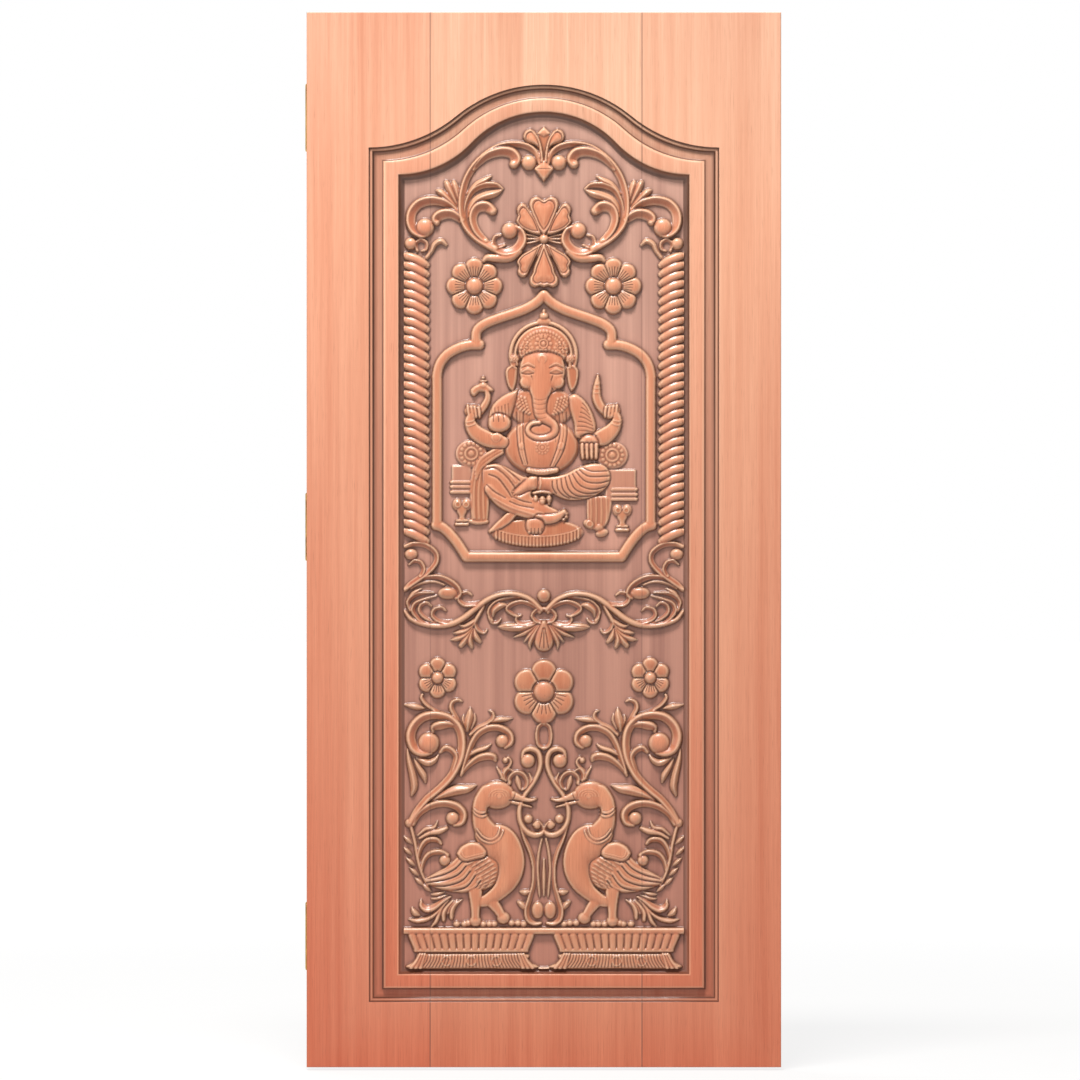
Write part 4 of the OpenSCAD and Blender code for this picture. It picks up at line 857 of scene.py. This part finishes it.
def carve_head():
    """Crown, ears, face and trunk."""
    def arc(r, squash=1.0):
        turns = np.linspace(3.5, -0.36, 15)
        return [[-1 + r * math.cos(a), 1372 + r * squash * math.sin(a)] for a in turns]

    limb([[x, z, 8] for x, z in arc(63)], 6.5, 2)
    limb([[x, z, 6] for x, z in arc(54)], 8, 3)
    dome(0, 1436, 15, 9, 8)
    dome(0, 1447, 9, 8, 9.5)
    dome(0, 1456, 3.4, 5, 7.5)
    dome(-1, 1386, 51, 43, 11.2, 0, 0, 0.5)
    string(arc(46), 3.2, 6.6, 1.4)
    string(arc(38, 1.05), 2.6, 5.4, 1.1)
    disc(-1, 1394, 17, 10, 1.5)
    disc(-33, 1386, 12, 8, 1.3)
    disc(31, 1386, 12, 8, 1.3)
    # Ears, face and trunk.
    for s, x in ((-1, -62), (1, 55)):
        pad([[x - s * 12, 1348], [x, 1353], [x + s * 12, 1342], [x + s * 8, 1314], [x - s * 2, 1302],
             [x - s * 9, 1318]], 6.5, 5)
        bump([[x - s * 10, 1347, 4], [x, 1351, 5], [x + s * 10, 1341, 5], [x + s * 7, 1316, 4],
              [x - s, 1304, 3]], 1.6)
    pad([[-45, 1356], [-38, 1370], [-20, 1378], [-3, 1380], [14, 1378], [32, 1370], [39, 1356], [41, 1338],
         [35, 1319], [23, 1305], [6, 1297], [-14, 1297], [-30, 1305], [-41, 1319], [-47, 1338]],
        12.8, 22, 0, 0.4, True)
    string([[-46, 1368], [-26, 1378], [-3, 1381], [20, 1378], [40, 1368]], 3.2, 6.2, 1.6)
    dome(-3, 1364, 13, 10, 13.4, 6, 0, 0.7)
    ring(-3, 1364, 7, 2.6, 0.7)
    for x in (-57, 51):
        dome(x, 1364, 10, 10, 9.5)
        disc(x, 1364, 9, 7, 1.2)
        limb([[x, 1356, 7], [x, 1348, 5]], 8, 3)
    for x in (-31, 24):
        bump([[x - 13, 1350, 3], [x, 1356, 4], [x + 13, 1350, 3]], 1.2)
        bump([[x - 11, 1340, 3], [x, 1345, 6], [x + 11, 1340, 3]], 1.5)
        groove([[x - 12, 1337, 2], [x, 1335, 3], [x + 12, 1337, 2]], 2.0)
        groove([[x - 13, 1347, 2], [x, 1351, 2.4], [x + 13, 1347, 2]], 1.2)
    for s, x in ((-1, -34), (1, 27)):
        dome(x, 1320, 13, 13, 12.6, 8)
        groove([[x - s * 10, 1332, 2], [x - s * 14, 1316, 3], [x - s * 8, 1302, 2]], 2.0)
    limb([[-7, 1296, 32], [-8, 1274, 26], [-5, 1256, 23], [8, 1246, 18], [20, 1236, 15], [20, 1222, 14],
          [6, 1213, 13], [-12, 1212, 12], [-27, 1219, 11], [-31, 1230, 10], [-23, 1240, 9], [-8, 1242, 8]],
         13.7, 6, 0.3, True)
    limb([[-4, 1362, 12], [-4, 1344, 26], [-5, 1326, 40], [-6, 1310, 46], [-7, 1298, 36], [-8, 1284, 27]],
         13.7, 6, 0.5)
    for k in range(5):
        groove([[-20, 1288 - 9 * k, 2], [-8, 1285 - 9 * k, 2.4], [5, 1288 - 9 * k, 2]], 0.8)
    dome(-7, 1229, 13, 8, 10.5)


carve_crest()
carve_rosette()
flower(-134, 1505, 55, 8, 90, 17, 0.68, 12, range(8))
flower(-205, 750, 40, 6, 90, 12, 0.82, 11.5, (2, 3, 4))
carve_rope()
carve_niche()
carve_swag()
carve_vine()
carve_urn()
carve_bird()
carve_pedestal()
height = np.maximum(height, height[:, ::-1])
flower(0, 723, 63, 6, 90, 21, 0.82, 12, (2, 3, 4))
carve_throne()
carve_cushion()
carve_legs()
carve_body()
carve_arms()
carve_head()
height = np.minimum(height, GROUND - FACE_CLEAR)

# Masks for the colour: stain and painted shade by how deep a place lies among its neighbours and how steep
# it is, the level by how high it is, and a painted highlight on the crests.
rough = height.copy()
height = blur(height, 0.5 * STEP / 1.5)
level = np.clip(height / RELIEF, 0, 1.15)
# Stain and painted shade in the hollows: how far a place lies below its blurred neighbours, at three
# reaches.
stain_and_shade = np.zeros_like(rough)
for reach, least, full, share in ((1.5, 0.08, 0.95, 1.0), (3.0, 0.12, 1.8, 0.9), (6.5, 0.0, 6.0, 0.35)):
    stain_and_shade = np.maximum(stain_and_shade, np.clip((blur(rough, reach) - rough - least) / full, 0, 1) * share)
lean_z, lean_x = np.gradient(rough, FINE)
# Painted shade on steep walls: the steeper the slope, the darker the wood.
steep_wall_shade = np.clip((np.hypot(lean_x, lean_z) - 0.3) / 1.7, 0, 1)
stain_and_shade = np.clip(np.maximum(stain_and_shade, 0.55 * steep_wall_shade) * (0.7 + 0.4 * level), 0, 1)
# Painted highlight on ridges and convex edges, with a little paler rubbed wood.
painted_highlight = np.clip((rough - blur(rough, 2.2) - 0.05) / 1.2, 0, 1)


def arch(inset):
    """Half width, shoulder, crown, turn and radius of the outline a distance in from the stile."""
    hw = PANEL_HALF - inset
    low = SHOULDER - ARCH_SHARE * inset
    top = CROWN - ARCH_SHARE * inset
    turn = 2 * math.atan((top - low) / hw)
    return hw, low, top, turn, hw / 2 / math.sin(turn)


def outline(inset, steps=14):
    """Panel outline a distance in from the stile: two equal arcs on each side of the crown."""
    hw, low, top, turn, r = arch(inset)
    bottom = PANEL_BOTTOM + RAIL_SHARE * inset
    right = []
    for i in range(steps + 1):
        t = turn * i / steps
        right.append((hw - r * math.sin(t), low + r * (1 - math.cos(t))))
    for i in range(steps - 1, -1, -1):
        t = turn * i / steps
        right.append((r * math.sin(t), top - r * (1 - math.cos(t))))
    left = [(-x, z) for x, z in right[-2::-1]]
    return [(-hw, bottom), (hw, bottom)] + right + left


def arch_top(x, inset):
    """Height of the outline at x."""
    hw, low, top, turn, r = arch(inset)
    x = np.minimum(np.abs(x), hw)
    inner = top - r + np.sqrt(np.maximum(r * r - x * x, 0))
    outer = low + r - np.sqrt(np.maximum(r * r - (hw - x) ** 2, 0))
    return np.where(x < hw / 2, inner, outer)


# Distance in from the stile, depth below the face, stain and painted shade, and painted highlight.
PROFILE = [
    (0.0, 0.0, 0.0, 0.2), (0.6, 0.4, 0.3, 0.3), (1.2, 3.0, 1.0, 0.0), (1.8, 4.4, 1.0, 0.0),
    (3.2, 4.1, 0.5, 0.0), (5.5, 3.8, 0.15, 0.5), (7.4, 4.6, 0.4, 0.2), (8.4, 6.5, 0.9, 0.0),
    (9.2, 8.8, 1.0, 0.0), (12.0, 9.6, 0.55, 0.0), (18.0, 10.0, 0.22, 0.0), (25.0, 9.6, 0.4, 0.0),
    (27.6, 8.8, 1.0, 0.0), (28.4, 5.6, 0.85, 0.0), (29.4, 3.0, 0.2, 0.5), (31.0, 2.2, 0.0, 0.5),
    (34.0, 2.0, 0.0, 0.0), (54.5, 2.0, 0.0, 0.0), (56.8, 2.3, 0.0, 0.5), (57.8, 3.2, 0.35, 0.3),
    (58.6, 6.0, 0.85, 0.0), (60.5, 9.5, 0.8, 0.0), (63.5, 12.6, 0.72, 0.0), (67.0, 14.4, 0.8, 0.0),
    (70.0, 15.05, 0.5, 0.0),
]
# Depth down to which the moulding keeps the tone of the face; deeper, it takes the ground's stain and
# painted shade.
FACE_TONE = 2.5


def add_object(name, mesh):
    """Puts a mesh into the scene."""
    obj = bpy.data.objects.new(name, mesh)
    bpy.context.scene.collection.objects.link(obj)
    return obj


def new_object(name, bm):
    """Puts an edited mesh into the scene."""
    mesh = bpy.data.meshes.new(name)
    bm.to_mesh(mesh)
    bm.free()
    return add_object(name, mesh)


def leaf_shell():
    """Whole leaf without its carved ground: face, moulding, edges with hinge housings, and back."""
    bm = bmesh.new()
    stain_and_shade_layer = bm.verts.layers.float.new("stain_and_shade")
    painted_highlight_layer = bm.verts.layers.float.new("crest")
    level_l = bm.verts.layers.float.new("level")
    w, h, c = LEAF_W / 2, LEAF_H, CHAMFER
    f, b = -LEAF_T / 2, LEAF_T / 2

    # dark carries the stain and painted shade, light the painted highlight, high the depth level.
    def vert(x, y, z, dark=0.0, light=0.0, high=1.0):
        v = bm.verts.new((x / 1000, y / 1000, z / 1000))
        v[stain_and_shade_layer] = dark
        v[painted_highlight_layer] = light
        v[level_l] = high
        return v

    def strip(one, two):
        """Faces between two rows of points."""
        return [bm.faces.new((one[k], one[k + 1], two[k + 1], two[k])) for k in range(len(one) - 1)]

    def corners(y, inset):
        """Corners of the leaf at one depth: upper left, upper right, lower right, lower left."""
        x, lo, hi = w - inset, inset, h - inset
        return [vert(-x, y, hi), vert(x, y, hi), vert(x, y, lo), vert(-x, y, lo)]

    def panel_stops(y, inset):
        """Points over and under the panel's sides, in the same order as the corners."""
        x, lo, hi = PANEL_HALF, inset, h - inset
        return [vert(-x, y, hi), vert(x, y, hi), vert(x, y, lo), vert(-x, y, lo)]

    rings = []
    for inset, depth, dark, light in PROFILE:
        high = 1 - max(0.0, depth - FACE_TONE) / (GROUND - FACE_TONE)
        rings.append([vert(x, f + depth, z, dark, light, high) for x, z in outline(inset)])
    for outer, inner in zip(rings, rings[1:]):
        for face in strip(outer + outer[:1], inner + inner[:1]):
            face.smooth = True
    rim = rings[0]
    tl, tr, br, bl = corners(f, c)
    stop_tl, stop_tr, stop_br, stop_bl = panel_stops(f, c)
    bm.faces.new((bl, stop_bl, rim[0], rim[-1], stop_tl, tl))
    bm.faces.new((stop_br, br, tr, stop_tr, rim[2], rim[1]))
    bm.faces.new((stop_bl, stop_br, rim[1], rim[0]))
    bm.faces.new([stop_tl] + rim[:1:-1] + [stop_tr])

    # Edges all round, with the left one left open for the housings.
    side = corners(f + c, 0)
    s = panel_stops(f + c, 0)
    strip([bl, tl, stop_tl, stop_tr, tr, br, stop_br, stop_bl, bl],
          [side[3], side[0], s[0], s[1], side[1], side[2], s[2], s[3], side[3]])
    side_end = corners(b - c, 0)
    back = corners(b, c)
    strip(side, side_end)
    strip(side_end, back)

    # Left edge: plain stretches between the hinge housings, which are open at the back.
    deep, lip_y = -w + HOUSING_DEPTH, b - HOUSING_REACH
    stops = [0.0]
    for z in HINGE_ZS:
        stops += [z - HOUSING_HALF, z + HOUSING_HALF]
    stops.append(h)

    def pair(x, y, lo, hi):
        return [vert(x, y, lo), vert(x, y, hi)]

    notch = []
    for k in range(0, len(stops), 2):
        lo, hi = stops[k], stops[k + 1]
        plain = pair(-w, b - c, lo, hi)
        inner = pair(-w + c, b, max(lo, c), min(hi, h - c))
        strip(pair(-w, f + c, lo, hi), plain)
        strip(plain, inner)
        notch += inner
        if k + 2 < len(stops):
            lo, hi = hi, stops[k + 2]
            lip = pair(-w, lip_y, lo, hi)
            floor = pair(deep, lip_y, lo, hi)
            end = pair(deep, b, lo, hi)
            strip(pair(-w, f + c, lo, hi), lip)
            strip(lip, floor)
            strip(floor, end)
            for i, z in enumerate((lo, hi)):
                bm.faces.new((lip[i], floor[i], end[i], vert(-w + c, b, z), vert(-w, b - c, z)))
            notch += end
    bm.faces.new([back[2], back[1]] + notch[::-1])
    bmesh.ops.remove_doubles(bm, verts=bm.verts, dist=1e-6)
    bmesh.ops.recalc_face_normals(bm, faces=bm.faces)
    bmesh.ops.triangulate(bm, faces=[x for x in bm.faces if len(x.verts) > 4])
    return bm


def board_part(bm, x0, x1):
    """The part of the shell between two upright planes."""
    half = bm.copy()
    for x, keep_right in ((x0, True), (x1, False)):
        if x is None:
            continue
        geom = half.verts[:] + half.edges[:] + half.faces[:]
        bmesh.ops.bisect_plane(half, geom=geom, dist=1e-7, plane_co=(x / 1000, 0, 0), plane_no=(1, 0, 0),
                               clear_inner=keep_right, clear_outer=not keep_right)
    return half


def ground_piece(name, i0, i1, j0, j1):
    """Part of the carved ground as a fine mesh, with its stain and painted shade, painted highlight and
    level as attributes.
    """
    sub = (slice(j0 * 2, j1 * 2 + 1, 2), slice(i0 * 2, i1 * 2 + 1, 2))
    gx, gz = np.meshgrid(xs[sub[1]], zs[sub[0]])
    y = -LEAF_T / 2 + GROUND - height[sub]
    co = np.stack([gx, y, gz], axis=-1).reshape(-1, 3) / 1000
    idx = np.arange(y.size).reshape(y.shape)
    quads = np.stack([idx[:-1, :-1], idx[:-1, 1:], idx[1:, 1:], idx[1:, :-1]], axis=-1).reshape(-1, 4)
    under_arch = gz < arch_top(gx, GROUND_INSET) + GROUND_LAP
    inside = under_arch & (np.abs(gx) < GROUND_HALF) & (gz > GROUND_BOTTOM)
    quads = quads[inside.reshape(-1)[quads].all(axis=1)]
    used = np.unique(quads)
    remap = np.full(y.size, -1)
    remap[used] = np.arange(len(used))
    quads = remap[quads]
    mesh = bpy.data.meshes.new(name)
    mesh.vertices.add(len(used))
    mesh.vertices.foreach_set("co", co[used].ravel())
    mesh.loops.add(quads.size)
    mesh.loops.foreach_set("vertex_index", quads.ravel().astype(np.int32))
    mesh.polygons.add(len(quads))
    mesh.polygons.foreach_set("loop_start", np.arange(len(quads), dtype=np.int32) * 4)
    mesh.polygons.foreach_set("loop_total", np.full(len(quads), 4, np.int32))
    for key, field in (("stain_and_shade", stain_and_shade), ("crest", painted_highlight), ("level", level)):
        att = mesh.attributes.new(key, "FLOAT", "POINT")
        att.data.foreach_set("value", field[sub].reshape(-1)[used].astype(np.float32))
    mesh.update()
    mesh.validate()
    mesh.shade_smooth()
    return add_object(name, mesh)


def colour(r, g, b):
    """Display colour 0 to 255 as linear light."""
    out = []
    for v in (r, g, b):
        v = v / 255
        out.append(v / 12.92 if v <= 0.04045 else ((v + 0.055) / 1.055) ** 2.4)
    return (*out, 1.0)


class Nodes:
    """Short way to write the nodes of a material or of the world."""

    def __init__(self, tree):
        self.tree = tree
        tree.nodes.clear()

    def feed(self, socket, value):
        """Gives a socket a link or a plain value."""
        if isinstance(value, bpy.types.NodeSocket):
            self.tree.links.new(value, socket)
        else:
            socket.default_value = value

    def add(self, kind, inputs=None, **props):
        node = self.tree.nodes.new(kind)
        for k, v in props.items():
            setattr(node, k, v)
        for k, v in (inputs or {}).items():
            self.feed(node.inputs[k], v)
        return node

    def math(self, op, a, b=0.0, clamp=False):
        return self.add("ShaderNodeMath", {0: a, 1: b}, operation=op, use_clamp=clamp).outputs[0]

    def times(self, a, b):
        return self.math("MULTIPLY", a, b)

    def mix(self, share, a, b, blend="MIX"):
        node = self.add("ShaderNodeMix", data_type="RGBA", blend_type=blend)
        for key, v in (("Factor_Float", share), ("A_Color", a), ("B_Color", b)):
            self.feed(next(s for s in node.inputs if s.identifier == key), v)
        return next(s for s in node.outputs if s.identifier == "Result_Color")

    def tint(self, share, base, tone):
        return self.mix(share, base, (*tone, 1.0), "MULTIPLY")

    def noise(self, place, stretch, detail=3.0, rough=0.55):
        vector = self.add("ShaderNodeMapping", {"Vector": place, "Scale": stretch}).outputs[0]
        return self.add("ShaderNodeTexNoise", {"Vector": vector, "Scale": 1.0, "Detail": detail,
                                               "Roughness": rough}).outputs["Fac"]

    def span(self, value, lo, hi, a=0.0, b=1.0):
        return self.add("ShaderNodeMapRange", {"Value": value, "From Min": lo, "From Max": hi,
                                               "To Min": a, "To Max": b}).outputs[0]

    def shade(self, key):
        return self.add("ShaderNodeAttribute", attribute_name=key).outputs["Fac"]

    def seen(self):
        """1 for rays that show a thing to the eye, straight, in a reflection or through glass."""
        ray = self.add("ShaderNodeLightPath").outputs
        both = self.math("ADD", ray["Is Camera Ray"], ray["Is Glossy Ray"])
        return self.math("ADD", both, ray["Is Transmission Ray"], clamp=True)


class Surface(Nodes):
    """New material with one main shader."""

    def __init__(self, name):
        self.mat = bpy.data.materials.new(name)
        self.mat.use_nodes = True
        super().__init__(self.mat.node_tree)
        self.shader = self.add("ShaderNodeBsdfPrincipled")
        self.out = self.add("ShaderNodeOutputMaterial", {0: self.shader.outputs[0]})
        self.home = self.add("ShaderNodeTexCoord").outputs["Object"]

    def put(self, key, value):
        self.feed(self.shader.inputs[key], value)

    def put_bump(self, relief, strength, distance):
        node = self.add("ShaderNodeBump", {"Height": relief, "Strength": strength, "Distance": distance})
        self.put("Normal", node.outputs[0])


def wood_material(name, shift, warm=0.0, carved=True, relief_work=False):
    """Oiled wood with upright grain; stain and painted shade in the hollows and low in the relief, and a
    painted highlight on the crests.
    """
    m = Surface(name)
    axes = m.add("ShaderNodeSeparateXYZ", {0: m.home})
    across, up = axes.outputs[0], axes.outputs[2]
    place = m.add("ShaderNodeVectorMath", {0: m.home, 1: (shift, shift * 0.7, shift * 1.3)}).outputs[0]
    streak = m.noise(place, (55, 55, 0.9), 5.0, 0.62)
    broad = m.noise(place, (13, 13, 0.4), 2.0, 0.5)
    fibre = m.noise(place, (480, 480, 7), 2.0, 0.6)
    pores = m.noise(place, (900, 900, 22), 1.0, 0.5)
    tone = m.span(m.math("ADD", m.times(streak, 0.62), m.times(broad, 0.38)), 0.34, 0.66)
    less = 8 * warm
    base = m.mix(tone, colour(216, 150 - less, 118 - less), colour(240, 188 - less, 156 - less))
    base = m.mix(m.span(fibre, 0.35, 0.7, 0.0, 0.26), base, colour(190, 120, 90))
    base = m.mix(m.span(pores, 0.62, 0.75, 0.0, 0.35), base, colour(150, 90, 64))
    # Darker and redder towards the bottom: painted shade of the lamp's fall-off, along with some change of
    # the wood's tone. The top is made a little less red.
    foot = m.math("POWER", m.span(up, 0.05, 1.95, 1.0, 0.0), 1.3)
    if not relief_work:
        base = m.tint(foot, base, (0.82, 0.46, 0.37))
        base = m.tint(m.span(up, 1.6, 2.0), base, (0.9, 0.96, 1.0))
    if carved:
        high = m.shade("level")
        if relief_work:
            # Darker and more saturated low in the relief, lighter on the high tops: painted shade and light
            # by depth, with rubbed wear on the tops.
            wear_and_depth_shade = m.mix(m.span(high, 0.5, 1.15), (0.86, 0.7, 0.57, 1.0), (1.18, 1.05, 0.96, 1.0))
            base = m.mix(1.0, base, wear_and_depth_shade, "MULTIPLY")
            belt = m.times(m.span(up, 0.77, 0.85), m.span(up, 0.93, 1.0, 1.0, 0.0))
            base = m.tint(belt, base, (0.86, 0.74, 0.66))
            base = m.tint(1.0, base, (0.77, 0.64, 0.58))
        # The ground, greyer and darker than the carving: stain that gathers low in the relief, and painted
        # shade of the deep ground.
        ground = m.mix(tone, colour(161, 123, 110), colour(203, 162, 145))
        # The same painted fall-off shade on the ground, darker and redder towards the bottom.
        ground = m.tint(foot, ground, (0.92, 0.62, 0.54))
        shrine = m.times(m.span(up, 0.93, 1.02), m.span(up, 1.38, 1.47, 1.0, 0.0))
        ground = m.tint(shrine, ground, (1.1, 1.08, 1.08))
        base = m.mix(m.span(high, 0.05, 0.5, 0.92, 0.0), base, ground)
        # Painted highlight: crests and convex edges lightened towards pale cream.
        base = m.mix(m.times(m.shade("crest"), 0.44), base, colour(255, 222, 186))
        # Stain in the hollows, with painted shade there and on steep walls, towards deep brown.
        base = m.mix(m.math("MULTIPLY", m.shade("stain_and_shade"), 0.94, True), base, colour(70, 37, 22))
    for x in SEAMS:
        gap = m.math("ABSOLUTE", m.math("SUBTRACT", across, x / 1000))
        line = m.span(gap, 0.0004, 0.0018, 0.34 if relief_work else 0.62, 0.0)
        base = m.mix(line, base, colour(96, 62, 54))
    m.put("Base Color", base)
    m.put("Roughness", m.span(streak, 0.3, 0.7, 0.44, 0.31))
    m.put("Specular IOR Level", 0.46)
    if relief_work:
        m.put("Coat Weight", 0.3)
        m.put("Coat Roughness", 0.22)
    m.put_bump(m.math("ADD", m.times(fibre, 0.6), m.times(streak, 0.4)), 0.14, 0.0008)
    return m.mat


def brass_material(name, tint):
    """Aged brass with fine brushing and darker patches."""
    m = Surface(name)
    brush = m.noise(m.home, (900, 900, 40), 2.0, 0.5)
    patch = m.noise(m.home, (45, 45, 45), 4.0, 0.6)
    m.put("Base Color", m.mix(m.span(patch, 0.42, 0.7), colour(*tint), colour(120, 88, 44)))
    m.put("Metallic", 1.0)
    m.put("Roughness", m.span(m.math("ADD", brush, patch), 0.7, 1.3, 0.24, 0.46))
    m.put_bump(brush, 0.15, 0.0003)
    return m.mat


def dress(obj, look, key):
    """Gives a new piece its wood, hangs it on the leaf and hides the plain board part it stands for."""
    obj.data.materials.append(look)
    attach(obj, "leaf")
    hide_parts(key + "_board")


shell = leaf_shell()
boards = {"left": (None, SEAMS[0]), "middle": SEAMS, "right": (SEAMS[1], None)}
shades = (("left", 0.0, 1.0), ("middle", 3.7, 0.0), ("right", 8.1, 0.4))
woods = {k: wood_material("wood_" + k, s, w) for k, s, w in shades}
carvings = {k: wood_material("carving_" + k, s, w, True, True) for k, s, w in shades}
for key, (x0, x1) in boards.items():
    dress(new_object(key + "_board_body", board_part(shell, x0, x1)), woods[key], key)
shell.free()

cols = int(round((GX1 - GX0) / STEP))
rows = int(round((GZ1 - GZ0) / STEP))
cut_l = int(round((SEAMS[0] - GX0) / STEP))
cut_r = int(round((SEAMS[1] - GX0) / STEP))
bands = [0, rows // 4, rows // 2, rows * 3 // 4, rows]
grounds = [("left_carving", "left", 0, cut_l, 0, rows), ("right_carving", "right", cut_r, cols, 0, rows)]
for k, part_name in enumerate(("birds", "vine", "niche", "crest")):
    grounds.append(("middle_carving_" + part_name, "middle", cut_l, cut_r, bands[k], bands[k + 1]))
for name, key, i0, i1, j0, j1 in grounds:
    dress(ground_piece(name, i0, i1, j0, j1), carvings[key], key)

brass = brass_material("hinge_brass", (205, 168, 92))
screw_brass = brass_material("screw_brass", (214, 180, 108))
pale = wood_material("tongue_wood", 12.3, 0.0, False)
looks = {"plate": brass, "pin": brass, "hinge_screws": screw_brass, "tongue": pale}
for name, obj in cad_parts.items():
    for word, look in looks.items():
        if word in name:
            obj.data.materials.clear()
            obj.data.materials.append(look)


def studio_floor():
    """Wide pale floor that fades into the white of the room."""
    bm = bmesh.new()
    bmesh.ops.create_circle(bm, cap_ends=True, segments=64, radius=60.0)
    bmesh.ops.translate(bm, verts=bm.verts, vec=(0, 0, -0.006))
    floor = new_object("floor", bm)
    m = Surface("floor_paint")
    m.put("Base Color", m.mix(m.noise(m.home, (3, 3, 3)), colour(206, 205, 203), colour(214, 213, 211)))
    m.put("Roughness", 0.8)
    far = m.add("ShaderNodeVectorMath", {0: m.home}, operation="LENGTH").outputs["Value"]
    glow = m.add("ShaderNodeEmission", {"Color": colour(255, 255, 255), "Strength": 1.04})
    share = m.times(m.seen(), m.span(far, 1.2, 5.0, 0.78, 1.0))
    blend = m.add("ShaderNodeMixShader", {0: share, 1: m.shader.outputs[0], 2: glow.outputs[0]})
    m.feed(m.out.inputs[0], blend.outputs[0])
    floor.data.materials.append(m.mat)


def studio_room():
    """White to look at, but dim as a light, so that the lamps shape the carving."""
    world = bpy.data.worlds.new("soft_room")
    bpy.context.scene.world = world
    world.use_nodes = True
    m = Nodes(world.node_tree)
    dim = m.add("ShaderNodeBackground", {0: (1.0, 0.97, 0.95, 1.0), 1: 0.13})
    white = m.add("ShaderNodeBackground", {0: (1.0, 1.0, 1.0, 1.0)})
    room = m.add("ShaderNodeMixShader", {0: m.seen(), 1: dim.outputs[0], 2: white.outputs[0]})
    m.add("ShaderNodeOutputWorld", {0: room.outputs[0]})


def studio_lamp(name, place, target, size, power, tint):
    """Soft rectangular lamp that the camera doesn't see."""
    light = bpy.data.lights.new(name, "AREA")
    light.shape = "RECTANGLE"
    light.size, light.size_y = size
    light.energy = power
    light.color = tint
    lamp = add_object(name, light)
    lamp.location = place
    lamp.visible_camera = False
    lamp.rotation_euler = (Vector(target) - Vector(place)).to_track_quat("-Z", "Y").to_euler()


def studio_camera():
    """Long lens straight in front of the door."""
    cam = bpy.data.cameras.new("camera")
    cam.lens = 200
    cam.sensor_width = 36
    cam.clip_end = 60
    eye = add_object("camera", cam)
    eye.location = (-0.0075, -11.576, 1.0156)
    eye.rotation_euler = (math.pi / 2, 0, 0)
    bpy.context.scene.camera = eye


studio_floor()
studio_room()
studio_lamp("key", (-0.5, -2.3, 5.6), (0.0, 0.0, 1.0), (1.5, 1.0), 378, (1.0, 0.98, 0.96))
studio_lamp("side", (-4.2, -3.0, 2.0), (0.0, 0.0, 1.0), (1.5, 2.5), 40, (1.0, 0.98, 0.96))
studio_lamp("back", (-1.5, 2.0, 3.4), (0.0, 0.2, 1.0), (2.0, 1.5), 60, (1.0, 1.0, 1.0))
studio_camera()
bpy.context.scene.view_settings.view_transform = "Standard"
